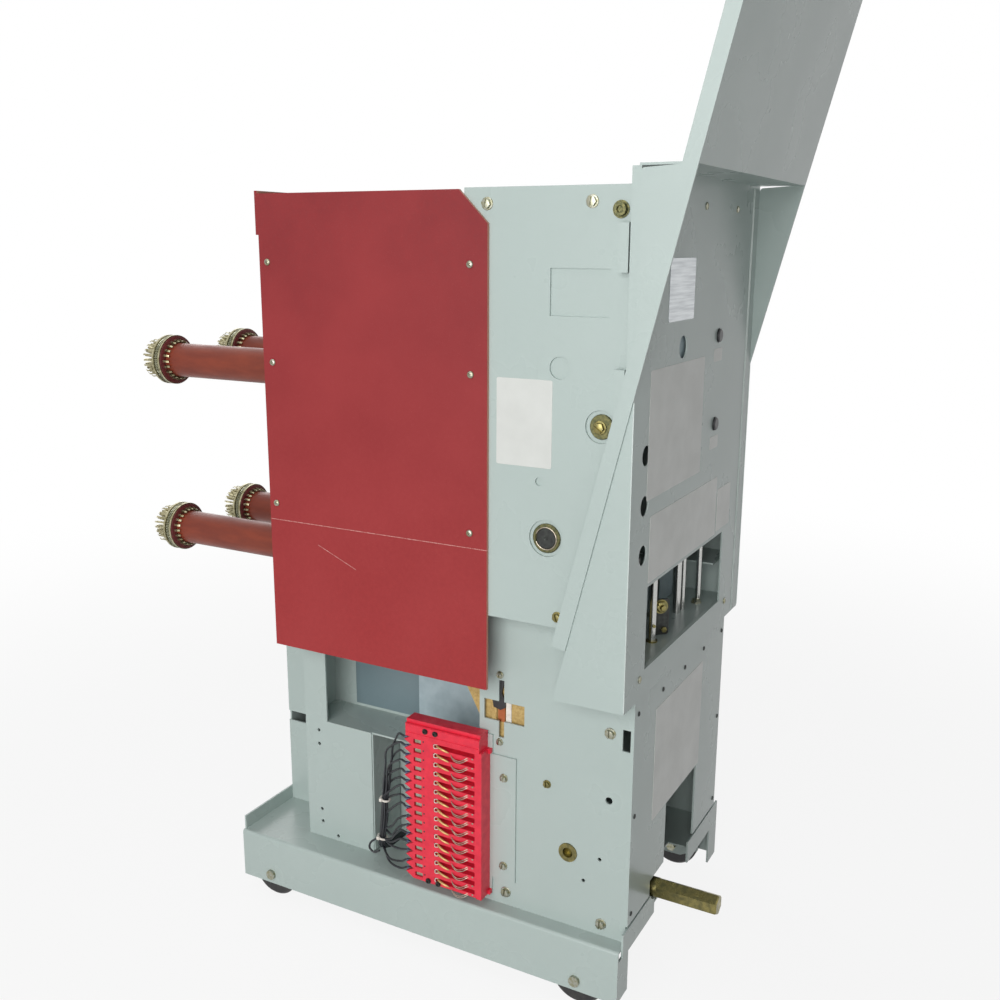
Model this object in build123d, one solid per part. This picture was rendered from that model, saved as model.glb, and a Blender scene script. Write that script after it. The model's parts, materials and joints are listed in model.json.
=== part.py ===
"""Draw-out vacuum circuit breaker on a wheeled truck, in millimetres.

The frame: X runs across the truck, -Y is the front where the operator stands,
+Z is up. The origin is on the floor, under the middle of the whole breaker.
A folded sheet housing holds the mechanism, three vacuum interrupters stand
behind it between red glass-polyester sheets, and six insulated stems with
tulip contacts stick out at the back. A leaning shield rises over the front.
"""
import os
from math import cos, pi, radians, tan

from build123d import *

# Sheet gauges and general clearances
SHEET = 3.0
COVER_SHEET = 2.5
RED_SHEET = 4.8
BEND = 6.0
RUN_FIT = 0.05
HOLE_PLAY = 0.25
MOVE_GAP = 5.0

# Truck
TRUCK_WIDTH = 470.0
TRUCK_FRONT = -381.0
TRUCK_REAR = 330.0
PAN_TOP = 112.0
RAIL_HEIGHT = 86.0
RAIL_TAB = 41.0
LIP_BELOW = 14.0
LIP_ABOVE = 24.0
LIP_END = 5.0
WHEEL_DIAMETER = 86.0
WHEEL_WIDTH = 24.0
WHEEL_HUB = 34.0
AXLE_DIAMETER = 12.0
AXLE_HEAD = 17.0
AXLE_HEAD_LENGTH = 5.0
FRONT_AXLE_Y = -310.0
REAR_AXLE_Y = 269.0
BRACKET_LENGTH = 96.0

# Lower housing
LOWER_WIDTH = 414.0
LOWER_REAR = -131.0
COVER_FRONT = -380.0
STEP_HEIGHT = 597.0
LOWER_COVER_TOP = 493.0
LOWER_COVER_BOTTOM = 139.0
CUTOUT_LEFT = -57.0
CUTOUT_RIGHT = 88.0
CUTOUT_TOP = 267.0
INTERLOCK_SLOT_Y = -173.0
INTERLOCK_SLOT_WIDTH = 9.0
INTERLOCK_SLOT_LOW = 391.5
INTERLOCK_SLOT_HIGH = 483.5
INTERLOCK_LEFT = -207.0
INTERLOCK_RIGHT = -139.0
INTERLOCK_LOW = 417.5
INTERLOCK_HIGH = 449.5
BOARD_THICKNESS = 4.0
BOARD_OUTLINE = ((-220, 385), (-142, 385), (-128, 417), (-96, 476), (-96, 500), (-220, 500))
BOARD_BAR = (-158, -150, 390, 458)
BAR_THICKNESS = 3.0
LEVER_OUTLINE = ((-172, 446), (-161, 452), (-157, 470), (-167, 474), (-170, 488), (-176, 488), (-178, 462),
                 (-184, 454), (-184, 440))
LATCH_SLOT = (-375, -363, 416, 449)
LOWER_HOLES = ((-345, 334, 5.5), (-333, 236, 3), (-308, 194, 3))
BUSH_Y = -282.0
BUSH_Z = 233.0
BUSH_BORE = 16.0
BUSH_OUTER = 30.0
BUSH_REACH = 14.0
BUSH_DEPTH = 10.0
BUSH_FLANGE = 1.5
FOLD_WIDTH = 15.0

# Upper housing
UPPER_WIDTH = 492.0
UPPER_FRONT = -371.0
UPPER_REAR = -129.0
UPPER_TOP = 1186.0
COVER_OVERHANG = 16.0
UPPER_COVER_FRONT = -384.0
UPPER_COVER_TOP = 1206.0
UPPER_COVER_BOTTOM = 497.0
WINDOW_LEFT = -188.0
WINDOW_RIGHT = 155.0
WINDOW_BOTTOM = 537.0
WINDOW_TOP = 657.0
BUTTON_DIAMETER = 20.0
BUTTON_X = 80.0
BUTTON_HEIGHTS = (981.0, 846.0)
BUTTON_LENGTH = 40.0
BUTTON_STEM = 10.0
BUTTON_REACH = 4.0
GUIDE_SETBACK = 24.0
GUIDE_MARGIN = 24.0
UPPER_HOLES = ((-273, 956, 15), (-333, 883, 22), (-257, 723, 26), (-245, 801, 6))
UPPER_RECESS = (-341, -257, 1023, 1084)
COVER_HOLES = ((-211, 844, 15), (-211, 776, 15), (-211, 708, 15), (-82, 976, 17))
SPACER_HEIGHTS = (680.0, 900.0, 1080.0)
SPACER_LENGTH = 60.0
SPACER_DROP = 17.0
CHEEK_LAP = 9.0

# Seen through the window
SHELF_DROP = 2.0
SHELF_LIP = 26.0
INNER_PLATES = (-110.0, 120.0)
INNER_PLATE_DEPTH = 90.0
SHAFT_ROD = (-158.0, -352.0, 90.0, 16.0)
STEEL_ROD = (70.0, -340.0, 60.0, 12.0)
ROD_WASHER = 30.0
ANGLE_LEFT = -132.0
ANGLE_RIGHT = -84.0
ANGLE_FRONT = -336.0
ANGLE_DEPTH = 36.0
ANGLE_HEIGHT = 58.0

# Leaning shield
SHIELD_LEAN = 14.04
CREASE_Y = -455.0
CREASE_Z = 1206.0
ARM_WIDTH = 20.5
ARM_BOTTOM = 573.0
SHIELD_REACH = 69.0

# Rear frame
SIDE_PLATE_WIDTH = 368.0
SIDE_PLATE_FRONT = 87.0
SIDE_PLATE_REAR = 222.0
POST_WIDTH = 45.0
SHELF_Z = 330.0
FRAME_TOP = 545.0
TOWER_WIDTH = 204.0
TOWER_NOTCH_Z = 277.0
TOWER_NOTCH_DEPTH = 38.0
TOWER_NOTCH_HEIGHT = 18.0
SIDE_PLATE_HOLES = ((195, 311), (195, 286), (194, 164), (193, 141), (161, 121))
HOLE_RADIUS = 3.0

# Insulation
BARRIER_BOTTOM = 484.0
BARRIER_TOP = 1184.0
BARRIER_FRONT = -167.0
BARRIER_REAR = 221.0
BARRIER_CHAMFER = 44.0
STRIP_BOTTOM = 1125.0

# Poles and primary contacts
PHASE_SPACING = 175.0
LOWER_STEM_RISE = 85.0
STEM_SPACING = 291.0
STEM_DIAMETER = 56.0
CONDUCTOR_DIAMETER = 32.0
POLE_Y = 70.0
TERMINAL_SIZE = 62.0
BOTTLE_DIAMETER = 96.0
BOTTLE_NECK = 36.0
NECK_LENGTH = 12.0
POST_DIAMETER = 50.0
CONTACT_TIP = 524.0
FINGER_REACH = 48.0
DRUM_DIAMETER = 82.0
DRUM_LENGTH = 17.0
MOUTH_DIAMETER = 56.0
FINGERS = 22
FINGER_THICKNESS = 3.4

# Secondary block
BLOCK_FRONT = -151.0
BLOCK_REAR = -12.0
BLOCK_BOTTOM = 127.0
BLOCK_TOP = 400.0
BLOCK_DEPTH = 25.0
BLOCK_ROWS = 16
FIRST_ROW = 136.0
ROW_PITCH = 15.27
TOOTH_DEPTH = 14.0
SLOT_FRONT = -138.0
SLOT_REAR = -65.0
SLOT_HALF = 3.8
SLOT_DEPTH = 14.0
POCKET_FRONT = -43.0
POCKET_DEPTH = 8.0
WALL_WIDTH = 9.0
EAR_HEIGHT = 7.0
EAR_REACH = 4.0
BRACKET_FRONT = -195.0
BRACKET_BOTTOM = 155.0
BRACKET_TOP = 363.0

# Racking shaft
SHAFT_X = -95.0
SHAFT_Z = 143.0
SHAFT_FLATS = 28.0
SHAFT_END = -483.0
SHAFT_JOURNAL = 20.0

HALF_TRUCK = TRUCK_WIDTH / 2
HALF_LOWER = LOWER_WIDTH / 2
HALF_UPPER = UPPER_WIDTH / 2
HALF_COVER = HALF_UPPER + COVER_OVERHANG
HALF_PLATE = SIDE_PLATE_WIDTH / 2
HALF_TOWER = TOWER_WIDTH / 2
PAN_BOTTOM = PAN_TOP - SHEET
RAIL_BOTTOM = PAN_TOP - RAIL_HEIGHT
AXLE_Z = WHEEL_DIAMETER / 2
LEAN = tan(radians(SHIELD_LEAN))
SHIELD_TOP = CREASE_Z + SHIELD_REACH / LEAN
DRUM_REAR = CONTACT_TIP - FINGER_REACH
LOWER_STEM_Z = FRAME_TOP + LOWER_STEM_RISE
UPPER_STEM_Z = LOWER_STEM_Z + STEM_SPACING
SHELF_TOP = WINDOW_BOTTOM - SHELF_DROP
PHASES = {"left": -PHASE_SPACING, "centre": 0.0, "right": PHASE_SPACING}
SIDES = {"left": -1.0, "right": 1.0}


def lean_y(z):
    """Front edge of the leaning arm at height z."""
    return CREASE_Y + (CREASE_Z - z) * LEAN


def side_sheet(x_low, thickness, outline):
    """A sheet in a plane across X, from an outline in Y and Z."""
    return extrude(Plane.YZ.offset(x_low) * outline, amount=thickness)


def front_sheet(y_low, thickness, outline):
    """A sheet in a plane across Y, from an outline in X and Z."""
    return extrude(Plane.XZ.offset(-y_low) * outline, amount=-thickness)


def flat_sheet(z_low, thickness, outline):
    """A level sheet, from an outline in X and Y."""
    return extrude(Plane.XY.offset(z_low) * outline, amount=thickness)


def area(*points):
    """A flat face inside straight edges through the points."""
    return make_face(Polyline(*points, close=True))


def span(low, high, bottom, top):
    """A rectangle between two corners."""
    return Pos((low + high) / 2, (bottom + top) / 2) * Rectangle(high - low, top - bottom)


def block(x_low, x_high, y_low, y_high, z_low, z_high):
    """A box between two corners."""
    box = Box(x_high - x_low, y_high - y_low, z_high - z_low)
    return Pos((x_low + x_high) / 2, (y_low + y_high) / 2, (z_low + z_high) / 2) * box


def rod_x(x_low, x_high, y, z, diameter):
    """A round bar along X."""
    return extrude(Plane.YZ.offset(x_low) * Pos(y, z) * Circle(diameter / 2), amount=x_high - x_low)


def rod_y(x, y_low, y_high, z, diameter):
    """A round bar along Y."""
    return extrude(Plane.XZ.offset(-y_low) * Pos(x, z) * Circle(diameter / 2), amount=y_low - y_high)


def rod_z(x, y, z_low, z_high, diameter):
    """A round bar along Z."""
    return extrude(Plane.XY.offset(z_low) * Pos(x, y) * Circle(diameter / 2), amount=z_high - z_low)


def mirror_x(shape):
    """The same piece on the other side of the truck."""
    return mirror(shape, about=Plane.YZ)


def save(name, *solids):
    """Write one node; several solids share it where they do not touch."""
    shapes = [solid for shape in solids for solid in shape.solids()]
    whole = shapes[0] if len(shapes) == 1 else Compound(children=shapes)
    export_step(whole, f"parts/{name}.step")


# Truck: pan, rails, wheels and racking shaft

def base_pan():
    half = HALF_TRUCK - BEND
    front = TRUCK_FRONT + SHEET
    sheet = span(-half, half, front, TRUCK_REAR)
    sheet -= span(CUTOUT_LEFT, CUTOUT_RIGHT, front - SHEET, front + 40)
    pan = flat_sheet(PAN_BOTTOM, SHEET, sheet)
    lip_half = half - LIP_END
    lip_low, lip_high = PAN_TOP - LIP_BELOW, PAN_TOP + LIP_ABOVE
    front_lip = span(-lip_half, lip_half, lip_low, lip_high)
    front_lip -= span(SHAFT_X, CUTOUT_RIGHT - 25, lip_low - 1, lip_high + 1)
    front_lip -= Pos(SHAFT_X, SHAFT_Z) * Circle(SHAFT_FLATS / 2 + MOVE_GAP)
    rear_lip = span(-half, half, lip_low, lip_high)
    pan += front_sheet(TRUCK_FRONT, SHEET, front_lip)
    pan += front_sheet(TRUCK_REAR - SHEET, SHEET, rear_lip)
    return pan


def rail():
    outer, inner = -HALF_TRUCK, -HALF_TRUCK + BEND
    web = area((outer, RAIL_BOTTOM), (outer + SHEET, RAIL_BOTTOM), (outer + SHEET, PAN_BOTTOM),
               (inner, PAN_BOTTOM), (inner, PAN_TOP), (outer, PAN_TOP))
    web = fillet(web.vertices().group_by(Axis.Y)[-1].sort_by(Axis.X)[0], BEND - 1)
    front, rear = TRUCK_FRONT + SHEET, TRUCK_REAR
    bar = front_sheet(front, rear - front, web)
    tab = span(outer + SHEET, outer + RAIL_TAB, RAIL_BOTTOM, PAN_BOTTOM - LIP_BELOW)
    bar += front_sheet(front, SHEET, tab)
    bar += front_sheet(rear - SHEET, SHEET, tab)
    for y in (FRONT_AXLE_Y, REAR_AXLE_Y):
        bar -= rod_x(outer - 1, outer + SHEET + 1, y, AXLE_Z, AXLE_DIAMETER + 2 * HOLE_PLAY)
    return bar


WHEEL_OUTER = HALF_TRUCK - SHEET - MOVE_GAP
WHEEL_INNER = WHEEL_OUTER - WHEEL_WIDTH
BRACKET_OUTER = WHEEL_INNER - MOVE_GAP


def wheel(side, y):
    """Solid tyre on a hub that reaches to its thrust faces."""
    radius, round_off = WHEEL_DIAMETER / 2, 4.0
    half = WHEEL_WIDTH / 2
    bore = AXLE_DIAMETER / 2 + RUN_FIT
    hub, reach = WHEEL_HUB / 2, half + MOVE_GAP - 0.3
    profile = area((bore, -reach), (hub, -reach), (hub, -half), (radius, -half), (radius, half),
                   (hub, half), (hub, reach), (bore, reach))
    corners = profile.vertices().group_by(Axis.X)[-1]
    profile = chamfer(corners, round_off)
    middle = side * (WHEEL_OUTER + WHEEL_INNER) / 2
    turned = revolve(Plane.XY * profile, axis=Axis.Y)
    return Pos(middle, y, AXLE_Z) * Rot(0, 0, 90) * turned


def axle(side, y):
    """Shoulder bolt through rail, wheel and bracket, with head and nut."""
    outer, inner = HALF_TRUCK, BRACKET_OUTER - SHEET
    body = rod_x(-outer, -inner, y, AXLE_Z, AXLE_DIAMETER)
    head = rod_x(-outer - AXLE_HEAD_LENGTH, -outer, y, AXLE_Z, AXLE_HEAD)
    nut = Plane.YZ.offset(-inner) * Pos(y, AXLE_Z) * RegularPolygon(AXLE_HEAD / 2, 6)
    bolt = body + head + extrude(nut, amount=2 * AXLE_HEAD_LENGTH)
    return bolt if side < 0 else mirror_x(bolt)


def wheel_bracket(side):
    """Inner plates of the two wheels of one side, folded to the pan."""
    plates = []
    for y in (FRONT_AXLE_Y, REAR_AXLE_Y):
        low, high = y - BRACKET_LENGTH / 2, y + BRACKET_LENGTH / 2
        low = max(low, TRUCK_FRONT + 2 * SHEET)
        high = min(high, TRUCK_REAR - SHEET)
        outline = area((low, PAN_BOTTOM), (low, AXLE_Z), (y - 16, RAIL_BOTTOM), (y + 16, RAIL_BOTTOM),
                       (high, AXLE_Z), (high, PAN_BOTTOM))
        outline -= Pos(y, AXLE_Z) * Circle(AXLE_DIAMETER / 2 + HOLE_PLAY)
        plate = side_sheet(-BRACKET_OUTER, SHEET, outline)
        fold = span(-BRACKET_OUTER + SHEET, -BRACKET_OUTER + 22, low, high)
        plate += flat_sheet(PAN_BOTTOM - SHEET, SHEET, fold)
        plates.append(plate if side < 0 else mirror_x(plate))
    return plates


def racking_shaft():
    """Hexagonal crank end with a collar, on a round journal."""
    hexagon = Pos(SHAFT_X, SHAFT_Z) * RegularPolygon(SHAFT_FLATS / 2, 6, major_radius=False, rotation=30)
    collar_front = TRUCK_FRONT - 6
    crank = extrude(Plane.XZ.offset(-SHAFT_END) * hexagon, amount=SHAFT_END - collar_front)
    crank = chamfer(crank.faces().sort_by(Axis.Y)[0].edges(), 2)
    crank += rod_y(SHAFT_X, collar_front, TRUCK_FRONT + 14, SHAFT_Z, SHAFT_FLATS + 2)
    crank += rod_y(SHAFT_X, TRUCK_FRONT + 14, TRUCK_FRONT + 92, SHAFT_Z, SHAFT_JOURNAL)
    crank += rod_y(SHAFT_X, TRUCK_FRONT + 92, TRUCK_FRONT + 98, SHAFT_Z, SHAFT_FLATS)
    return crank


def shaft_bearing():
    """Two plates on the pan that carry the racking shaft's journal."""
    plates = []
    for offset in (24, 80):
        y = TRUCK_FRONT + offset
        plate = span(SHAFT_X - 28, SHAFT_X + 28, PAN_TOP, SHAFT_Z + 26)
        plate -= Pos(SHAFT_X, SHAFT_Z) * Circle(SHAFT_JOURNAL / 2 + RUN_FIT)
        plates.append(front_sheet(y, 8, plate))
    return plates


# Lower housing

def interlock_opening():
    """Cross-shaped hole: a wide window with a narrow slot through it."""
    slot_end = INTERLOCK_SLOT_Y + INTERLOCK_SLOT_WIDTH
    cross = span(INTERLOCK_LEFT, INTERLOCK_RIGHT, INTERLOCK_LOW, INTERLOCK_HIGH)
    return cross + span(INTERLOCK_SLOT_Y, slot_end, INTERLOCK_SLOT_LOW, INTERLOCK_SLOT_HIGH)


def lower_side(side):
    outline = span(COVER_FRONT + SHEET, LOWER_REAR, PAN_TOP, STEP_HEIGHT)
    if side < 0:
        outline -= interlock_opening()
        outline -= Pos(BUSH_Y, BUSH_Z) * Circle(BUSH_OUTER / 2)
        for y, z, radius in LOWER_HOLES:
            outline -= Pos(y, z) * Circle(radius)
    outline -= span(*LATCH_SLOT)
    plate = side_sheet(-HALF_LOWER, SHEET, outline)
    fold = span(-HALF_LOWER + SHEET, -HALF_LOWER + SHEET + FOLD_WIDTH, PAN_TOP, LOWER_COVER_TOP)
    plate += front_sheet(COVER_FRONT + SHEET, SHEET, fold)
    return plate if side < 0 else mirror_x(plate)


def lower_rear_sheet():
    half = HALF_LOWER - SHEET
    outline = span(-half, half, PAN_TOP, STEP_HEIGHT)
    heights = [z for y, z in BOARD_OUTLINE]
    outline -= span(-half - 1, -half + 2 * BOARD_THICKNESS + 1, min(heights) - 1, max(heights) + 1)
    return front_sheet(LOWER_REAR - SHEET, SHEET, outline)


def lower_cover():
    bottom = LOWER_COVER_BOTTOM
    clear = SHAFT_FLATS / 2 + 3 + MOVE_GAP
    outline = span(-HALF_LOWER, HALF_LOWER, bottom, LOWER_COVER_TOP)
    outline -= span(CUTOUT_LEFT, CUTOUT_RIGHT, bottom - 1, CUTOUT_TOP)
    outline -= span(SHAFT_X - clear, CUTOUT_LEFT + 1, bottom - 1, SHAFT_Z + clear)
    return front_sheet(COVER_FRONT, SHEET, outline)


def bore_bush():
    """Zinc-plated flanged bush in the side sheet."""
    face = -HALF_LOWER - BUSH_FLANGE
    outer = rod_x(face, -HALF_LOWER + BUSH_REACH, BUSH_Y, BUSH_Z, BUSH_OUTER - 2 * HOLE_PLAY)
    return outer - rod_x(face - 1, -HALF_LOWER + BUSH_DEPTH, BUSH_Y, BUSH_Z, BUSH_BORE)


# Upper housing

def upper_side(side):
    outline = span(UPPER_FRONT, UPPER_REAR, STEP_HEIGHT, UPPER_TOP)
    outline -= span(*UPPER_RECESS)
    for y, z, radius in UPPER_HOLES:
        outline -= Pos(y, z) * Circle(radius)
    plate = side_sheet(-HALF_UPPER, SHEET, outline)
    return plate if side < 0 else mirror_x(plate)


def upper_liner(side):
    """Inner sheet that shows through the holes of the side sheet."""
    outline = span(UPPER_FRONT + 12, UPPER_REAR - SHEET, STEP_HEIGHT + SHEET, UPPER_TOP - SHEET)
    plate = side_sheet(-HALF_UPPER + SHEET, SHEET, outline)
    for y, z, radius in UPPER_HOLES[1:3]:
        plate += rod_x(-HALF_UPPER + 1, -HALF_UPPER + SHEET, y, z, 2 * radius - 12)
    return plate if side < 0 else mirror_x(plate)


def upper_rear_sheet():
    half = HALF_UPPER - SHEET
    return front_sheet(UPPER_REAR - SHEET, SHEET, span(-half, half, STEP_HEIGHT + SHEET, UPPER_TOP - SHEET))


def upper_top():
    half = HALF_UPPER - SHEET
    return flat_sheet(UPPER_TOP - SHEET, SHEET, span(-half, half, UPPER_FRONT, UPPER_REAR))


def upper_floor():
    half = HALF_UPPER - SHEET
    outline = span(-half, half, UPPER_FRONT, UPPER_REAR)
    outline -= span(WINDOW_LEFT, WINDOW_RIGHT, UPPER_FRONT - 1, LOWER_REAR - 60)
    return flat_sheet(STEP_HEIGHT, SHEET, outline)


def upper_cover_front():
    half = HALF_COVER - COVER_SHEET
    outline = span(-half, half, UPPER_COVER_BOTTOM, UPPER_COVER_TOP)
    outline -= span(WINDOW_LEFT, WINDOW_RIGHT, WINDOW_BOTTOM, WINDOW_TOP)
    for x, z, radius in COVER_HOLES:
        outline -= Pos(x, z) * Circle(radius)
    for z in BUTTON_HEIGHTS:
        outline -= Pos(BUTTON_X, z) * Circle(BUTTON_DIAMETER / 2 + 1)
    return front_sheet(UPPER_COVER_FRONT, COVER_SHEET, outline)


def upper_cover_side(side):
    """Trapezoid cheek of the cover; its back edge lies under the leaning arm."""
    lap = CHEEK_LAP
    step = ARM_BOTTOM + 6
    front = UPPER_COVER_FRONT
    high = CREASE_Z - (front - CREASE_Y - lap) / LEAN
    outline = area((front, UPPER_COVER_BOTTOM), (lean_y(UPPER_COVER_BOTTOM), UPPER_COVER_BOTTOM),
                   (lean_y(step), step), (lean_y(step) + lap, step), (front, high))
    outline += span(front, front + 12, UPPER_COVER_BOTTOM, UPPER_COVER_TOP)
    plate = side_sheet(-HALF_COVER, COVER_SHEET, outline)
    return plate if side < 0 else mirror_x(plate)


def cover_spacer(side):
    """Blocks that hold the cover's cheek off the housing side."""
    inner = HALF_COVER - COVER_SHEET
    top = STEP_HEIGHT - SPACER_DROP
    spacers = [block(-inner, -HALF_UPPER, UPPER_FRONT + 2, UPPER_FRONT + 16, z, z + SPACER_LENGTH)
               for z in SPACER_HEIGHTS]
    spacers.append(block(-inner, -HALF_LOWER, COVER_FRONT + 8, COVER_FRONT + 30, top - SPACER_LENGTH, top))
    return [s if side < 0 else mirror_x(s) for s in spacers]


def push_button(z):
    shoulder = UPPER_COVER_FRONT + GUIDE_SETBACK - BUTTON_STEM
    cap = rod_y(BUTTON_X, UPPER_COVER_FRONT - BUTTON_REACH, shoulder, z, BUTTON_DIAMETER)
    cap = chamfer(cap.faces().sort_by(Axis.Y)[0].edges(), 1.5)
    stem = rod_y(BUTTON_X, shoulder, UPPER_COVER_FRONT + BUTTON_LENGTH, z, BUTTON_STEM)
    return cap + stem


def button_guide():
    """Plate behind the cover that guides both button stems."""
    y = UPPER_COVER_FRONT + GUIDE_SETBACK
    low, high = min(BUTTON_HEIGHTS) - GUIDE_MARGIN, max(BUTTON_HEIGHTS) + GUIDE_MARGIN
    left, right = BUTTON_X - BUTTON_DIAMETER, BUTTON_X + BUTTON_DIAMETER
    outline = span(left, right, low, high)
    for z in BUTTON_HEIGHTS:
        outline -= Pos(BUTTON_X, z) * Circle(BUTTON_STEM / 2 + RUN_FIT)
    plate = front_sheet(y, SHEET, outline)
    for z in (low, high - SHEET):
        plate += block(left, right, UPPER_COVER_FRONT + COVER_SHEET, y, z, z + SHEET)
    return plate


def mechanism_shelf():
    half = HALF_LOWER - SHEET
    top, front, rear = SHELF_TOP, UPPER_COVER_FRONT + COVER_SHEET, LOWER_REAR - SHEET
    profile = area((front, top - SHELF_LIP), (front + SHEET, top - SHELF_LIP), (front + SHEET, top - SHEET),
                   (rear, top - SHEET), (rear, top), (front, top))
    profile = fillet(profile.vertices().sort_by(Axis.X)[0:2].sort_by(Axis.Y)[-1], SHEET + 2)
    shelf = side_sheet(-half, 2 * half, profile)
    for x in INNER_PLATES:
        shelf += block(x, x + SHEET, rear - INNER_PLATE_DEPTH, rear, top, STEP_HEIGHT)
    return shelf


def interlock_shaft():
    """Vertical steel shaft on the shelf with a plated washer at its foot."""
    x, y, rise, diameter = SHAFT_ROD
    shaft = rod_z(x, y, SHELF_TOP, STEP_HEIGHT + rise, diameter)
    return shaft + rod_z(x, y, SHELF_TOP, SHELF_TOP + SHEET, ROD_WASHER)


def interlock_bracket():
    low, front, rear = SHELF_TOP, ANGLE_FRONT, ANGLE_FRONT + ANGLE_DEPTH
    plate = block(ANGLE_LEFT, ANGLE_RIGHT, front, front + SHEET, low, low + ANGLE_HEIGHT)
    plate += block(ANGLE_LEFT, ANGLE_RIGHT, front, rear, low, low + SHEET)
    plate += block(ANGLE_LEFT, ANGLE_LEFT + SHEET, front, rear, low, low + ANGLE_HEIGHT - FOLD_WIDTH)
    return plate


def mechanism_rod():
    """Second upright rod behind the window."""
    x, y, rise, diameter = STEEL_ROD
    return rod_z(x, y, SHELF_TOP, STEP_HEIGHT + rise, diameter)


def operating_rod(x):
    """Insulating push rod under the moving end of one interrupter."""
    return rod_z(x, POLE_Y, FRAME_TOP + SHEET, LOWER_STEM_Z - TERMINAL_SIZE / 2, 26)


# Leaning shield

def shield_arm(side):
    """Side strip of the shield with its gusset over the cover's front."""
    bottom, top = ARM_BOTTOM, SHIELD_TOP
    front = UPPER_COVER_FRONT
    meet = CREASE_Z - (front - CREASE_Y - ARM_WIDTH) / LEAN
    outline = area((lean_y(bottom), bottom), (lean_y(bottom) + ARM_WIDTH, bottom + 5),
                   (front, meet), (front, UPPER_COVER_TOP - 3),
                   (lean_y(UPPER_COVER_TOP) + ARM_WIDTH, UPPER_COVER_TOP),
                   (lean_y(top) + ARM_WIDTH, top), (lean_y(top), top))
    corner = outline.vertices().sort_by_distance((front, UPPER_COVER_TOP - 3, 0))[0]
    outline = fillet(corner, 5)
    plate = side_sheet(-HALF_COVER - SHEET, SHEET, outline)
    return plate if side < 0 else mirror_x(plate)


def shield_plate():
    """Inclined web between the arms, with a hem at the top and a level foot on the cover."""
    low, high = CREASE_Z, SHIELD_TOP
    depth = SHEET / cos(radians(SHIELD_LEAN))
    foot = UPPER_COVER_FRONT + COVER_SHEET
    profile = area((lean_y(low), low), (lean_y(high), high), (lean_y(high) + ARM_WIDTH, high),
                   (lean_y(high) + ARM_WIDTH, high - SHEET), (lean_y(high) + depth + 1, high - SHEET),
                   (lean_y(low) + depth, low + SHEET), (foot, low + SHEET), (foot, low))
    return side_sheet(-HALF_COVER, 2 * HALF_COVER, profile)


# Rear frame

def side_plate(side):
    outline = span(SIDE_PLATE_FRONT, SIDE_PLATE_REAR, PAN_TOP, SHELF_Z)
    outline += span(SIDE_PLATE_REAR - POST_WIDTH, SIDE_PLATE_REAR, SHELF_Z, FRAME_TOP)
    for y, z in SIDE_PLATE_HOLES:
        outline -= Pos(y, z) * Circle(HOLE_RADIUS)
    plate = side_sheet(-HALF_PLATE, SHEET, outline)
    fold = span(-HALF_PLATE + SHEET, -HALF_TOWER, PAN_TOP, FRAME_TOP)
    plate += front_sheet(SIDE_PLATE_REAR - SHEET, SHEET, fold)
    return plate if side < 0 else mirror_x(plate)


def rear_shelf():
    """Level sheet inside the side windows, with folded front edges."""
    half = HALF_PLATE - SHEET
    outline = span(-half, half, LOWER_REAR, SIDE_PLATE_REAR - SHEET)
    outline -= span(-HALF_TOWER, HALF_TOWER, LOWER_REAR - 1, SIDE_PLATE_REAR)
    return flat_sheet(SHELF_Z - SHEET, SHEET, outline).solids()


def tower_side(side):
    """Wall of the rear tower, with the notch in its back edge."""
    rear = TRUCK_REAR - SHEET
    outline = span(LOWER_REAR, rear, PAN_TOP, FRAME_TOP)
    half = TOWER_NOTCH_HEIGHT / 2
    outline -= span(rear - TOWER_NOTCH_DEPTH, rear + 1, TOWER_NOTCH_Z - half, TOWER_NOTCH_Z + half)
    plate = side_sheet(-HALF_TOWER, SHEET, outline)
    return plate if side < 0 else mirror_x(plate)


def tower_rear():
    half = HALF_TOWER - SHEET
    return front_sheet(TRUCK_REAR - 2 * SHEET, SHEET, span(-half, half, PAN_TOP, FRAME_TOP))


def pole_deck():
    """Level sheet over the rear frame that the insulating sheets stand on."""
    half = HALF_UPPER
    return flat_sheet(FRAME_TOP, SHEET, span(-half, half, LOWER_REAR, BARRIER_REAR))


# Insulating sheets

def side_barrier(side):
    outline = span(BARRIER_FRONT, BARRIER_REAR, BARRIER_BOTTOM, BARRIER_TOP)
    corner = outline.vertices().group_by(Axis.Y)[-1].sort_by(Axis.X)[0]
    outline = chamfer(corner, BARRIER_CHAMFER)
    plate = side_sheet(-HALF_UPPER - RED_SHEET, RED_SHEET, outline)
    return plate if side < 0 else mirror_x(plate)


def phase_barrier(side):
    x = -PHASE_SPACING / 2
    outline = span(UPPER_REAR, BARRIER_REAR, FRAME_TOP + SHEET, BARRIER_TOP)
    plate = side_sheet(x - RED_SHEET / 2, RED_SHEET, outline)
    return plate if side < 0 else mirror_x(plate)


def rear_strip():
    half = HALF_UPPER + RED_SHEET
    return front_sheet(BARRIER_REAR, RED_SHEET, span(-half, half, STRIP_BOTTOM, BARRIER_TOP + 4))


# Poles

def interrupter(x):
    """Vacuum bottle: a ceramic body with a metal neck at each end."""
    radius, neck = BOTTLE_DIAMETER / 2, BOTTLE_NECK / 2
    low, high = LOWER_STEM_Z + TERMINAL_SIZE / 2, UPPER_STEM_Z - TERMINAL_SIZE / 2
    profile = area((0, low), (neck, low), (neck, low + NECK_LENGTH), (radius, low + 2 * NECK_LENGTH),
                   (radius, high - 2 * NECK_LENGTH), (neck, high - NECK_LENGTH), (neck, high), (0, high))
    return Pos(x, POLE_Y, 0) * revolve(Plane.XZ * profile, axis=Axis.Z)


def terminal(x, z):
    """Block that joins the interrupter to its stem."""
    half = TERMINAL_SIZE / 2
    body = block(x - half, x + half, POLE_Y - half, POLE_Y + half, z - half, z + half)
    return fillet(body.edges().filter_by(Axis.Y), 8)


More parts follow.
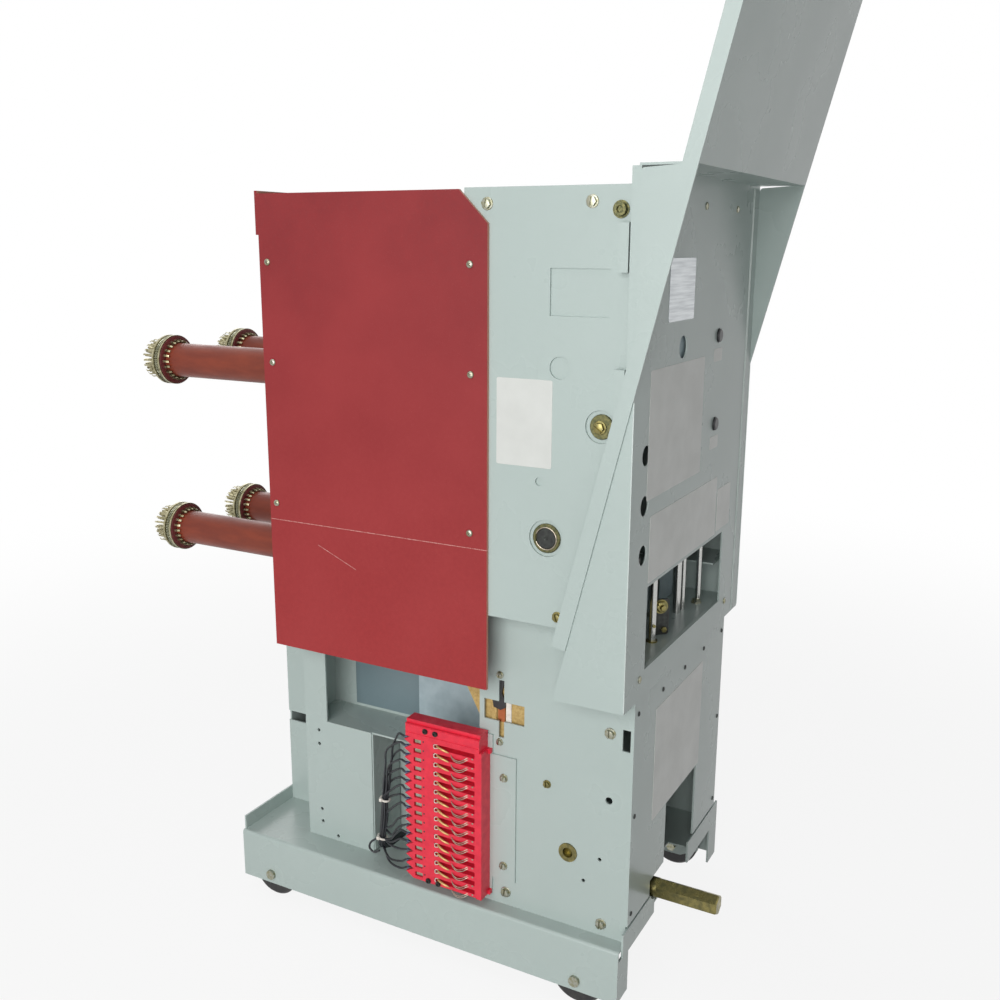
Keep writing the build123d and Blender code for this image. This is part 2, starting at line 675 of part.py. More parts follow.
def stem(x, z):
    """Insulated conductor stem: bar in a red-brown sleeve."""
    start = POLE_Y + TERMINAL_SIZE / 2
    return rod_y(x, start, DRUM_REAR, z, STEM_DIAMETER)


def support_insulator(x, z):
    """Round post from the housing's rear sheet to the terminal."""
    post = rod_y(x, UPPER_REAR, POLE_Y - TERMINAL_SIZE / 2, z, POST_DIAMETER)
    return chamfer(post.edges().filter_by(GeomType.CIRCLE), 2)


def tulip_contact(x, z):
    """Ring of contact fingers held in a grooved drum by two garter rings."""
    mouth, drum = MOUTH_DIAMETER / 2, DRUM_DIAMETER / 2
    bore = CONDUCTOR_DIAMETER / 2
    rear, front = DRUM_REAR, DRUM_REAR + DRUM_LENGTH
    tip = CONTACT_TIP
    ring = 3.5
    profile = area((0, rear), (drum, rear), (drum, rear + ring), (drum - 4, rear + ring + 1),
                   (drum - 4, front - ring - 1), (drum, front - ring), (drum, front),
                   (bore + 2, front), (bore + 2, rear + 6), (0, rear + 6))
    hub = revolve(Plane.XY * profile, axis=Axis.Y)
    thick = FINGER_THICKNESS
    finger = area((bore + 1, rear + 5), (bore + 1, tip - 12), (bore + 3, tip - 4), (mouth - 3, tip),
                  (mouth, tip - 2), (mouth - 3, tip - 10), (mouth + 1, front + 2), (mouth + 1, rear + 5))
    blade = extrude(Plane.XY.offset(-thick / 2) * finger, amount=thick)
    tail = block(mouth + 1, mouth + 6, rear - 7, rear + 3, -thick / 2, thick / 2)
    step = 360 / FINGERS
    blades = [Rot(0, step * i, 0) * piece for i in range(FINGERS) for piece in (blade, tail)]
    return Pos(x, 0, z) * (hub + blades)


# Secondary block and harness

def chamber_heights():
    """Middle heights of the block's rows."""
    return [FIRST_ROW + row * ROW_PITCH for row in range(BLOCK_ROWS)]


def secondary_block():
    """Moulded block: rows of contact chambers between saw teeth and a side wall, under a stepped cap."""
    back = -HALF_LOWER - SHEET
    face = back - BLOCK_DEPTH
    cap_low = FIRST_ROW + (BLOCK_ROWS - 0.5) * ROW_PITCH
    half = ROW_PITCH / 2
    valley = BLOCK_REAR - TOOTH_DEPTH
    points = [(BLOCK_FRONT, BLOCK_BOTTOM), (valley, BLOCK_BOTTOM)]
    for z in chamber_heights():
        points += [(BLOCK_REAR, z), (valley, z + half)]
    points += [(valley, cap_low), (BLOCK_FRONT, cap_low)]
    body = side_sheet(face, BLOCK_DEPTH, area(*points))
    for z in chamber_heights():
        body -= block(face - 1, face + SLOT_DEPTH, SLOT_FRONT, SLOT_REAR, z - SLOT_HALF, z + SLOT_HALF)
        body -= block(face - 1, face + POCKET_DEPTH, POCKET_FRONT, valley - 3, z - SLOT_HALF, z + SLOT_HALF)
    wall = BLOCK_FRONT + WALL_WIDTH
    body += block(face - 2, back, BLOCK_FRONT, wall, BLOCK_BOTTOM, cap_low)
    body += block(face - 2, back, BLOCK_FRONT + 4, BLOCK_REAR - 4, cap_low, BLOCK_TOP - 6)
    body += block(face + 2, back, BLOCK_FRONT + 4, BLOCK_REAR - 4, BLOCK_TOP - 6, BLOCK_TOP)
    for z in (BLOCK_BOTTOM, cap_low - EAR_HEIGHT):
        body += block(back - EAR_HEIGHT, back, BLOCK_FRONT - EAR_REACH, BLOCK_FRONT, z, z + EAR_HEIGHT)
    return body


def secondary_bracket():
    """Plate that carries the block on the lower side sheet, wider where its own screws sit."""
    x_out = -HALF_LOWER - SHEET
    outline = span(BRACKET_FRONT, BLOCK_REAR - 20, BRACKET_BOTTOM, BRACKET_TOP)
    outline += span(BLOCK_FRONT - 4, BLOCK_REAR - 20, BLOCK_BOTTOM + 4, BLOCK_TOP - 6)
    return side_sheet(x_out, SHEET, outline)


HARNESS_DIAMETER = 13.0
HARNESS_POINTS = ((-224, -11, 365), (-222, 8, 360), (-218, 25, 340), (-215, 33, 300), (-214, 38, 256),
                  (-213, 43, 210), (-211, 50, 166), (-200, 54, 142), (-170, 56, 134), (-135, 57, 134),
                  (-HALF_TOWER, 57, 134))


def harness():
    """Tied bundle of control wires along the back of the block."""
    points = [Vector(*p) for p in HARNESS_POINTS]
    runs = [(b - a).length for a, b in zip(points, points[1:])]
    turns = [radians((b - a).get_angle(c - b)) for a, b, c in zip(points, points[1:], points[2:])]
    radii = [0.45 * min(u, v) / tan(turn / 2) for u, v, turn in zip(runs, runs[1:], turns)]
    print("harness radii", [round(r, 1) for r in radii])
    path = FilletPolyline(*points, radius=radii)
    start = Plane(origin=path @ 0, z_dir=path % 0)
    tube = sweep(start * Circle(HARNESS_DIAMETER / 2), path=path)
    print("harness volume ratio", round(tube.volume / (pi * HARNESS_DIAMETER ** 2 / 4 * path.length), 4))
    return tube


def interlock_lever():
    """Black hooked lever that shows in the slot of the side sheet."""
    return side_sheet(-HALF_LOWER + SHEET, BOARD_THICKNESS, area(*LEVER_OUTLINE))


def interlock_bars():
    """Tan board behind the side sheet, with its cut corner, and the upright bar on it."""
    x = -HALF_LOWER + SHEET + BOARD_THICKNESS
    board = side_sheet(x, BOARD_THICKNESS, area(*BOARD_OUTLINE))
    return board + side_sheet(x - BAR_THICKNESS, BAR_THICKNESS, span(*BOARD_BAR))


def both(make):
    """The piece for each side, as one list of solids."""
    solids = []
    for side in SIDES.values():
        made = make(side)
        solids += made if isinstance(made, list) else [made]
    return solids


def build():
    os.makedirs("parts", exist_ok=True)
    save("base_pan", base_pan())
    save("rails", rail(), mirror_x(rail()))
    for side_name, side in SIDES.items():
        for end_name, y in (("front", FRONT_AXLE_Y), ("rear", REAR_AXLE_Y)):
            save(f"wheel_{end_name}_{side_name}", wheel(side, y))
        save(f"lower_side_{side_name}", lower_side(side))
        save(f"upper_side_{side_name}", upper_side(side))
        save(f"side_barrier_{side_name}", side_barrier(side))
    save("axle_bolts", *(axle(side, y) for side in SIDES.values() for y in (FRONT_AXLE_Y, REAR_AXLE_Y)))
    save("wheel_brackets", *both(wheel_bracket))
    save("racking_shaft", racking_shaft())
    save("shaft_bearings", *shaft_bearing())
    save("upper_liners", *both(upper_liner))
    save("cover_cheeks", *both(upper_cover_side))
    save("shield_arms", *both(shield_arm))
    save("rear_side_plates", *both(side_plate))
    save("tower_sides", *both(tower_side))
    save("phase_barriers", *both(phase_barrier))
    save("cover_spacers", *both(cover_spacer))
    save("lower_rear_sheet", lower_rear_sheet())
    save("lower_cover", lower_cover())
    save("bore_bush", bore_bush())
    save("upper_rear_sheet", upper_rear_sheet())
    save("upper_top", upper_top())
    save("upper_floor", upper_floor())
    save("upper_cover_front", upper_cover_front())
    for name, z in zip(("upper", "lower"), BUTTON_HEIGHTS):
        save(f"button_{name}", push_button(z))
    save("button_guide", button_guide())
    save("mechanism_shelf", mechanism_shelf())
    save("interlock_shaft", interlock_shaft(), mechanism_rod())
    save("interlock_bracket", interlock_bracket())
    save("interlock_lever", interlock_lever())
    save("interlock_bars", interlock_bars())
    save("shield_plate", shield_plate())
    save("rear_shelf", *rear_shelf())
    save("tower_rear", tower_rear())
    save("pole_deck", pole_deck())
    save("rear_strip", rear_strip())
    levels = {"upper": UPPER_STEM_Z, "lower": LOWER_STEM_Z}
    save("interrupters", *(interrupter(x) for x in PHASES.values()))
    save("operating_rods", *(operating_rod(x) for x in PHASES.values()))
    save("terminals", *(terminal(x, z) for z in levels.values() for x in PHASES.values()))
    save("post_insulators", *(support_insulator(x, z) for z in levels.values() for x in PHASES.values()))
    for level, z in levels.items():
        save(f"stems_{level}", *(stem(x, z) for x in PHASES.values()))
        save(f"tulip_contacts_{level}", *(tulip_contact(x, z) for x in PHASES.values()))
    save("secondary_block", secondary_block())
    save("secondary_bracket", secondary_bracket())
    save("harness", harness())


build()
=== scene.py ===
"""Looks of a draw-out vacuum circuit breaker on its truck.

The file is laid out as an add-on and run as a script. Lengths in the functions are
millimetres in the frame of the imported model, and become metres where a mesh is made.
"""
import json
import math

import bmesh
import bpy
import numpy as np
from bpy.props import FloatProperty, FloatVectorProperty, IntProperty, PointerProperty
from mathutils import Matrix


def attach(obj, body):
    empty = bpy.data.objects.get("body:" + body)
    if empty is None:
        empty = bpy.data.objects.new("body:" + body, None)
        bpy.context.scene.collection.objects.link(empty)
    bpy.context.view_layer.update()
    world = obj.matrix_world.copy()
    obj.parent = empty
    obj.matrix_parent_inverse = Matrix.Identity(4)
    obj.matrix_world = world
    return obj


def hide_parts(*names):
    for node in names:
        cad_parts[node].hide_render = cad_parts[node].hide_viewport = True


bl_info = {
    "name": "Vacuum breaker dressing",
    "version": (1, 0, 0),
    "blender": (4, 5, 0),
    "location": "View3D > Sidebar > Breaker",
    "description": "Finishes, fasteners, contacts, wiring and stage for a draw-out vacuum breaker",
    "category": "Object",
}

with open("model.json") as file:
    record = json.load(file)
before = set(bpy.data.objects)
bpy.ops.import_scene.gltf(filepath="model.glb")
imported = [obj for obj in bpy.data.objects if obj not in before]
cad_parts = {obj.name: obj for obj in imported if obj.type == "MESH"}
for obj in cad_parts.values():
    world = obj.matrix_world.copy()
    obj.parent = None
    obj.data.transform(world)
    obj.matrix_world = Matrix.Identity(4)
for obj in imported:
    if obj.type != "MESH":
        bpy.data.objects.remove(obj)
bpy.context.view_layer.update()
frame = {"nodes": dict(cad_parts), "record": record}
MM = 0.001
FRONT, LEFT, RIGHT, REAR, UP = (0, -1, 0), (-1, 0, 0), (1, 0, 0), (0, 1, 0), (0, 0, 1)

# Faces of the sheets: x of those at the left side, y of those at the front and the rear
SIDE_FACE, BRACKET_FACE, PIVOT_FACE, PANEL_FACE, BARRIER_FACE = -207.0, -210.0, -243.0, -246.0, -250.8
COVER_FACE, LOWER_COVER_FACE, STRIP_FACE = -384.0, -380.0, 226.0
# Places of the poles along x, and heights of their contact stems
POLES = (-175.0, 0.0, 175.0)
STEM_HEIGHTS = {"upper": 921.0, "lower": 630.0}


# Colour and shader helpers

def linear(colour):
    """An sRGB hex value as linear red, green, blue and alpha."""
    parts = np.array([int(colour[i:i + 2], 16) for i in (1, 3, 5)]) / 255
    bright = ((parts + 0.055) / 1.055) ** 2.4
    return (*np.where(parts <= 0.04045, parts / 12.92, bright).tolist(), 1.0)


def per_metre(size):
    """Pattern scale for features of this size in millimetres."""
    return 1 / (size * MM)


def first_output(value):
    """A node's first live output; an output or a plain value stays as it is."""
    if isinstance(value, bpy.types.Node):
        return next(way for way in value.outputs if way.enabled)
    return value


def add(tree, kind, inputs=None, **settings):
    """One node with its settings, and a value or a link for each named input.

    A Mix node of colours has its share, its first colour and its second at inputs 0, 6 and 7.
    """
    made = tree.nodes.new("ShaderNode" + kind)
    for key, value in settings.items():
        setattr(made, key, value)
    for key, value in (inputs or {}).items():
        value = first_output(value)
        if isinstance(value, bpy.types.NodeSocket):
            tree.links.new(value, made.inputs[key])
        else:
            made.inputs[key].default_value = value
    return made


def fresh(name, **sockets):
    """A new material's tree, its Principled shader with even values set, and Object coordinates."""
    made = bpy.data.materials.new(name)
    made.use_nodes = True
    shader = made.node_tree.nodes["Principled BSDF"]
    for key, value in sockets.items():
        shader.inputs[key.replace("_", " ").title().replace("Ior", "IOR")].default_value = value
    return made.node_tree, shader, add(made.node_tree, "TexCoord").outputs["Object"]


def feed(tree, shader, **links):
    """Connects nodes to the shader's sockets."""
    for key, value in links.items():
        tree.links.new(first_output(value), shader.inputs[key.replace("_", " ").title()])


# Settings

COLOUR = {"subtype": "COLOR", "size": 4, "min": 0, "max": 1}
LENGTH = {"subtype": "DISTANCE", "unit": "LENGTH"}
ANGLE = {"subtype": "ANGLE", "unit": "ROTATION"}


class FinishSettings(bpy.types.PropertyGroup):
    """Colours of the finishes."""
    enamel: FloatVectorProperty(name="Enamel", description="Grey-green sprayed enamel of the sheet metal",
                                default=linear("#AFBCB8"), **COLOUR)
    board: FloatVectorProperty(name="Red sheet", description="Glass-filled polyester sheet between the poles",
                               default=linear("#A53434"), **COLOUR)
    block: FloatVectorProperty(name="Red moulding", description="Moulded body of the secondary contact block",
                               default=linear("#E2273F"), **COLOUR)
    sleeve: FloatVectorProperty(name="Sleeve", description="Red-brown insulating sleeve of the contact stems",
                                default=linear("#7F3622"), **COLOUR)
    peel: FloatProperty(name="Orange peel", description="Spacing of the ripples in the sprayed enamel",
                        min=0.001, max=0.02, default=4 * MM, **LENGTH)


class FastenerSettings(bpy.types.PropertyGroup):
    """Sizes of the screw heads."""
    flange: FloatProperty(name="Flange radius", description="Radius of the washer under a large slotted head",
                          min=0.002, max=0.02, default=8.6 * MM, **LENGTH)
    slot: FloatProperty(name="Slot width", description="Width of the slot in a head",
                        min=0.0005, max=0.004, default=2.2 * MM, **LENGTH)
    pan: FloatProperty(name="Pan head radius", description="Radius of the round screws in the red sheets",
                       min=0.002, max=0.01, default=5.2 * MM, **LENGTH)


class ContactSettings(bpy.types.PropertyGroup):
    """Numbers of the contact details."""
    coils: IntProperty(name="Garter coils", description="Turns of wire in one garter spring",
                       min=20, max=200, default=84)
    rows: IntProperty(name="Chambers", description="Rows of the secondary contact block",
                      min=4, max=32, default=16)


class WiringSettings(bpy.types.PropertyGroup):
    """Sizes of the control wires."""
    wire: FloatProperty(name="Wire diameter", description="Diameter of one insulated control wire",
                        min=0.001, max=0.006, default=3.5 * MM, **LENGTH)


class StageSettings(bpy.types.PropertyGroup):
    """Camera and light."""
    eye: FloatVectorProperty(name="Camera place", description="Where the camera stands",
                             subtype="TRANSLATION", unit="LENGTH", size=3, default=(-1.523, -0.875, 1.112))
    yaw: FloatProperty(name="Camera yaw", description="Heading, counter-clockwise from +X",
                       default=math.radians(28.38), **ANGLE)
    pitch: FloatProperty(name="Camera pitch", description="Angle that the camera looks down",
                         default=math.radians(13.31), **ANGLE)
    roll: FloatProperty(name="Camera roll", description="Turn about the line of sight",
                        default=math.radians(0.30), **ANGLE)
    lens: FloatProperty(name="Lens", description="Focal length for a 36 mm sensor in millimetres",
                        min=10, max=200, default=38.77)
    soft: FloatProperty(name="Sky light", description="Strength of the even light from all round",
                        min=0, max=2, default=0.11)
    key: FloatProperty(name="Side light", description="Power of the large lamp on the left side in watts",
                       min=0, max=2000, default=104)
    pale: FloatProperty(name="Floor white", description="Share of plain white in the floor as it is seen",
                        subtype="FACTOR", min=0, max=1, default=0.88)


# Surfaces

def faces_of(rows, columns, round_rows, round_columns):
    """Quads between neighbours of a grid; a round direction joins its last line to its first."""
    row = np.arange(rows if round_rows else rows - 1)
    column = np.arange(columns if round_columns else columns - 1)
    row, column = (part.ravel() for part in np.meshgrid(row, column, indexing="ij"))
    here, below = row * columns, (row + 1) % rows * columns
    beside = (column + 1) % columns
    return np.stack((here + column, here + beside, below + beside, below + column), axis=1)


def axes(axis, turn=0.0):
    """Two directions across an axis and the axis itself, turned about it by an angle."""
    axis = np.asarray(axis, float) / np.linalg.norm(axis)
    upright = np.array(UP if abs(axis[2]) < 0.9 else REAR, float)
    side = np.cross(upright, axis)
    side /= np.linalg.norm(side)
    top = np.cross(axis, side)
    return math.cos(turn) * side + math.sin(turn) * top, math.cos(turn) * top - math.sin(turn) * side, axis


def placed(centre, directions, across, along, height):
    """Grid points at centre + across·side + along·top + height·out, for the three directions of axes."""
    parts = np.broadcast_arrays(across, along, height)
    return np.asarray(centre, float) + sum(part[..., None] * way for part, way in zip(parts, directions))


def turned(profile, centre, axis, steps=32, turn=0.0):
    """A profile of rows (radius, height, hexagon share) turned about an axis.

    A point is centre + radius·k(t)·(cos t, sin t) across + height along the axis, where
    k brings the circle to a hexagon of the same width over flats by the row's share.
    """
    profile = np.array([(*row, 0.0)[:3] for row in profile], float)
    angle = np.linspace(0, 2 * math.pi, steps, endpoint=False)
    hexagon = 1 / np.cos((angle % (math.pi / 3)) - math.pi / 6)
    reach = profile[:, :1] * (1 + profile[:, 2:] * (hexagon[None] - 1))
    x, y = reach * np.cos(angle), reach * np.sin(angle)
    return placed(centre, axes(axis, turn), x, y, profile[:, 1:2]), False, True


def slotted(centre, axis, radius, height, slot, turn, hexagon=False, dome=0.0):
    """A head with a slot: the grid's columns run across the slot and its rows along it.

    At column v the half length of a row is the chord sqrt(R² - v²), or that of a hexagon.
    The height is H - dome·(r/R)², less a little at the rim, and the slot's floor lies near half of H.
    """
    chords, slot_floor, rim_fall = 9, 0.45, 0.08
    half = slot / 2
    outer = radius * np.sin(np.linspace(math.pi / 2, math.asin(half / radius), chords))
    across = np.concatenate([-outer, [-half, half], outer[::-1]])
    if hexagon:
        chord = np.minimum(math.sqrt(3) / 2 * radius, math.sqrt(3) * (radius - np.abs(across)))
    else:
        chord = np.sqrt(np.maximum(radius ** 2 - across ** 2, 0))
    share = np.array([-1, -1, -0.93, -0.5, 0, 0.5, 0.93, 1, 1])
    along = share[:, None] * chord[None]
    crown = height - dome * (along ** 2 + across[None] ** 2) / radius ** 2
    crown[np.abs(share) == 1] -= rim_fall * radius
    crown[:, [chords, chords + 1]] = height * slot_floor
    crown[[0, -1]] = 0
    return placed(centre, axes(axis, turn), across, along, crown), False, False


def plate(centre, axis, width, height, thick, corner=3.0, edge=0.3):
    """A thin plate with round corners: rings at the middle, the bevelled rim and the back."""
    steps = 32
    angle = np.linspace(0, 2 * math.pi, steps, endpoint=False) + math.pi / steps
    turn_x, turn_y = np.cos(angle), np.sin(angle)
    x = np.sign(turn_x) * (width / 2 - corner) + corner * turn_x
    y = np.sign(turn_y) * (height / 2 - corner) + corner * turn_y
    shrink_x, shrink_y = 1 - 2 * edge / width, 1 - 2 * edge / height
    rows = [(0, 0, thick), (shrink_x, shrink_y, thick), (1, 1, thick - edge), (1, 1, 0), (0, 0, 0)]
    wide, tall, depth = np.array(rows, float).T[..., None]
    return placed(centre, axes(axis), wide * x, tall * y, depth), False, True


def curve(points, samples=8):
    """A smooth line through points: a cubic between each pair.

    Its slope at a point is half the difference between the point's two neighbours.
    """
    points = np.asarray(points, float)
    ends = np.vstack([2 * points[0] - points[1], points, 2 * points[-1] - points[-2]])
    before, first, second, after = ends[:-3], ends[1:-2], ends[2:-1], ends[3:]
    share = np.linspace(0, 1, samples, endpoint=False)[None, :, None]
    line = 0.5 * (2 * first[:, None] + (second - before)[:, None] * share
                  + (2 * before - 5 * first + 4 * second - after)[:, None] * share ** 2
                  + (3 * first - before - 3 * second + after)[:, None] * share ** 3)
    return np.vstack([line.reshape(-1, 3), points[-1:]])


def ring(centre, side, top, radius, steps, gap=0.0):
    """Points on a circle, centre + radius·(cos t·side + sin t·top), with a gap at its start or none."""
    angle = np.linspace(gap, 2 * math.pi - gap, steps, endpoint=gap > 0)
    return np.asarray(centre, float) + radius * (np.outer(np.cos(angle), side) + np.outer(np.sin(angle), top))


def capped(points, path):
    """Rings of points along a path, drawn together to one point at each of its ends."""
    first, last = (np.repeat(path[[end]][:, None], points.shape[1], axis=1) for end in (0, -1))
    return np.concatenate([first, points, last]), False, True


def tube(path, radius, sides=10, reference=RIGHT, closed=False):
    """A round tube: circles of a radius that may change along a path, closed at its ends."""
    path = np.asarray(path, float)
    radius = np.broadcast_to(np.asarray(radius, float), len(path))
    if closed:
        run = np.roll(path, -1, axis=0) - np.roll(path, 1, axis=0)
    else:
        run = np.gradient(path, axis=0)
    run /= np.linalg.norm(run, axis=1)[:, None]
    side = np.cross(run, np.asarray(reference, float))
    side /= np.linalg.norm(side, axis=1)[:, None]
    top = np.cross(side, run)
    angle = np.linspace(0, 2 * math.pi, sides, endpoint=False)
    circle = np.cos(angle)[None, :, None] * side[:, None] + np.sin(angle)[None, :, None] * top[:, None]
    points = path[:, None] + radius[:, None, None] * circle
    return (points, True, True) if closed else capped(points, path)


def bar(path, width, thick, across):
    """A flat bar along a path: a rectangle of width along one direction and thickness across it."""
    run = np.gradient(path, axis=0)
    run /= np.linalg.norm(run, axis=1)[:, None]
    wide = np.broadcast_to(np.asarray(across, float), path.shape)
    deep = np.cross(run, wide)
    deep /= np.linalg.norm(deep, axis=1)[:, None]
    corners = np.array([(-1, -1), (1, -1), (1, 1), (-1, 1)]) / 2
    points = (path[:, None] + corners[None, :, :1] * width * wide[:, None]
              + corners[None, :, 1:] * thick * deep[:, None])
    return capped(points, path)


def piece(name, surfaces, finish, body="truck", replaces=(), bevel=0.0):
    """One object from closed grids in millimetres, welded, turned outwards and made to ride."""
    weld, sliver, sharp = 2e-6, 1e-6, math.radians(34)
    points, quads, start = [], [], 0
    for grid, round_rows, round_columns in surfaces:
        rows, columns = grid.shape[:2]
        points.append(grid.reshape(-1, 3))
        quads.append(faces_of(rows, columns, round_rows, round_columns) + start)
        start += rows * columns
    mesh = bpy.data.meshes.new(name)
    mesh.from_pydata(np.concatenate(points) * MM, [], np.concatenate(quads).tolist())
    work = bmesh.new()
    work.from_mesh(mesh)
    bmesh.ops.remove_doubles(work, verts=work.verts, dist=weld)
    bmesh.ops.dissolve_degenerate(work, edges=work.edges, dist=sliver)
    bmesh.ops.recalc_face_normals(work, faces=work.faces)
    work.to_mesh(mesh)
    work.free()
    mesh.shade_smooth()
    mesh.set_sharp_from_angle(angle=sharp)
    made = bpy.data.objects.new(name, mesh)
    bpy.context.scene.collection.objects.link(made)
    mesh.materials.append(bpy.data.materials[finish])
    if bevel:
        rounding = made.modifiers.new("edge", "BEVEL")
        rounding.width, rounding.segments, rounding.limit_method = bevel * MM, 2, "ANGLE"
    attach(made, body)
    if replaces:
        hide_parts(*replaces)


# Finishes

def glossy_enamel(colours):
    """Alkyd enamel sprayed on folded steel sheet.

    It gives a wet shine broken by fine ripples, and a film of dust that dulls it in clouds.
    """
    tree, shader, place = fresh("glossy_enamel", ior=1.46, specular_ior_level=0.42)
    cloud = add(tree, "TexNoise", {"Vector": place, "Scale": per_metre(140), "Detail": 4.0})
    dust = add(tree, "TexNoise", {"Vector": place, "Scale": per_metre(9), "Detail": 5.0})
    speck = add(tree, "MapRange", {"Value": dust, "From Min": 0.62, "From Max": 0.8, "To Max": 0.03})
    colour = add(tree, "Mix", {0: cloud, 6: tuple(colours.enamel), 7: linear("#A8B5B1")}, data_type="RGBA")
    colour = add(tree, "Mix", {0: speck, 6: colour, 7: linear("#BFC5BE")}, data_type="RGBA")
    rough = add(tree, "MapRange", {"Value": cloud, "From Min": 0.3, "From Max": 0.7,
                                   "To Min": 0.25, "To Max": 0.31})
    ripple = add(tree, "TexNoise", {"Vector": place, "Scale": 1 / colours.peel, "Detail": 1.5})
    bump = add(tree, "Bump", {"Height": ripple, "Strength": 0.22, "Distance": 0.4 * MM})
    feed(tree, shader, base_color=colour, roughness=rough, normal=bump)


# Foot and head of the red side sheets, and y past which the red strip at the rear lies
BOARD_FOOT, BOARD_HEAD, STRIP_START = 484 * MM, 1184 * MM, 221.2 * MM
# Scratches as height at y = 0, slope, and first and last y, in metres; all are left of SCRATCHED_SIDE
SCRATCHES = ((0.6935, -0.004, -0.17, 0.22), (0.607, 0.42, 0.06, 0.13), (1.03, -2.1, -0.15, -0.135))
SCRATCHED_SIDE = -200 * MM


def polyester_sheet(colours):
    """Glass-mat polyester sheet, pressed and sawn.

    It gives a dull red face, mottled by the mat below and darker towards the top as painted shade, with pale
    sawn edges and a few scratches.
    """
    tree, shader, place = fresh("polyester_sheet", ior=1.5, specular_ior_level=0.25)
    mat = add(tree, "TexNoise", {"Vector": place, "Scale": per_metre(7), "Detail": 6.0, "Roughness": 0.7})
    cloud = add(tree, "TexNoise", {"Vector": place, "Scale": per_metre(110), "Detail": 3.0})
    fibre = add(tree, "TexNoise", {"Vector": place, "Scale": per_metre(2.4), "Detail": 3.0,
                                   "Distortion": 2.5})
    split = add(tree, "SeparateXYZ", {0: place})
    # Share of a darker red towards the top: painted shade, as the light falls more on the lower part of the
    # sheet.
    height = add(tree, "MapRange", {"Value": split.outputs["Z"], "From Min": BOARD_FOOT,
                                    "From Max": BOARD_HEAD})
    spread = add(tree, "MapRange", {"Value": cloud, "From Min": 0.35, "From Max": 0.7, "To Max": 0.35})
    thread = add(tree, "MapRange", {"Value": fibre, "From Min": 0.6, "From Max": 0.8, "To Max": 0.3})
    lie = add(tree, "SeparateXYZ", {0: add(tree, "NewGeometry").outputs["Normal"]})
    flat_x, flat_y = (add(tree, "Math", {0: lie.outputs[way]}, operation="ABSOLUTE") for way in "XY")
    strip = add(tree, "Math", {0: split.outputs["Y"], 1: STRIP_START}, operation="GREATER_THAN")
    flat_y = add(tree, "Math", {0: flat_y, 1: strip}, operation="MULTIPLY")
    wide = add(tree, "Math", {0: flat_x, 1: flat_y}, operation="MAXIMUM")
    sawn = add(tree, "Math", {0: wide, 1: 0.9}, operation="LESS_THAN")
    scratch = scratch_mask(tree, split, fibre)
    colour = tuple(colours.board)
    # The first mix is the painted shade at the top; the others are the sheet's own mottle, fibres, sawn edges
    # and scratches.
    for share, other in ((height, "#762A2D"), (mat, "#87292C"), (spread, "#A03A3B"), (thread, "#B0615A"),
                         (sawn, "#B98573"), (scratch, "#D9A9A2")):
        colour = add(tree, "Mix", {0: share, 6: colour, 7: linear(other)}, data_type="RGBA")
    rough = add(tree, "MapRange", {"Value": mat, "To Min": 0.42, "To Max": 0.62})
    bump = add(tree, "Bump", {"Height": fibre, "Strength": 0.25, "Distance": 0.3 * MM})
    feed(tree, shader, base_color=colour, roughness=rough, normal=bump)


def scratch_mask(tree, split, breakup):
    """Fine straight scratches on the left sheet: |z - (a + b·y)| under half a millimetre."""
    total = 0.0
    for start, slope, low, high in SCRATCHES:
        line = add(tree, "Math", {0: split.outputs["Y"], 1: slope, 2: start}, operation="MULTIPLY_ADD")
        away = add(tree, "Math", {0: split.outputs["Z"], 1: line}, operation="SUBTRACT")
        away = add(tree, "Math", {0: away}, operation="ABSOLUTE")
        near = add(tree, "MapRange", {"Value": away, "From Min": 0.2 * MM, "From Max": 0.7 * MM,
                                      "To Min": 1.0, "To Max": 0.0})
        middle, reach = (low + high) / 2, (high - low) / 2
        inside = add(tree, "Math", {0: split.outputs["Y"], 1: middle, 2: reach}, operation="COMPARE")
        mark = add(tree, "Math", {0: near, 1: inside}, operation="MULTIPLY")
        total = add(tree, "Math", {0: total, 1: mark}, operation="MAXIMUM")
    left = add(tree, "Math", {0: split.outputs["X"], 1: SCRATCHED_SIDE}, operation="LESS_THAN")
    total = add(tree, "Math", {0: total, 1: left}, operation="MULTIPLY")
    worn = add(tree, "MapRange", {"Value": breakup, "From Min": 0.35, "From Max": 0.6})
    return add(tree, "Math", {0: total, 1: worn}, operation="MULTIPLY")


def simple_finish(name, colour, other, size, roughness, bump=0.0, stretch=(1, 1, 1), **sockets):
    """A finish of two close colours in clouds of one size in millimetres, with its gloss following them."""
    tree, shader, place = fresh(name, **sockets)
    spread = add(tree, "Mapping", {"Vector": place, "Scale": stretch})
    grain = add(tree, "TexNoise", {"Vector": spread, "Scale": per_metre(size), "Detail": 5.0})
    share = add(tree, "MapRange", {"Value": grain, "From Min": 0.35, "From Max": 0.65})
    colour = linear(colour) if isinstance(colour, str) else tuple(colour)
    shade = add(tree, "Mix", {0: share, 6: colour, 7: linear(other)}, data_type="RGBA")
    rough = add(tree, "MapRange", {"Value": grain, "From Min": 0.3, "From Max": 0.7,
                                   "To Min": roughness[0], "To Max": roughness[1]})
    feed(tree, shader, base_color=shade, roughness=rough)
    if bump:
        relief = add(tree, "Bump", {"Height": grain, "Strength": 0.4, "Distance": bump * MM})
        feed(tree, shader, normal=relief)


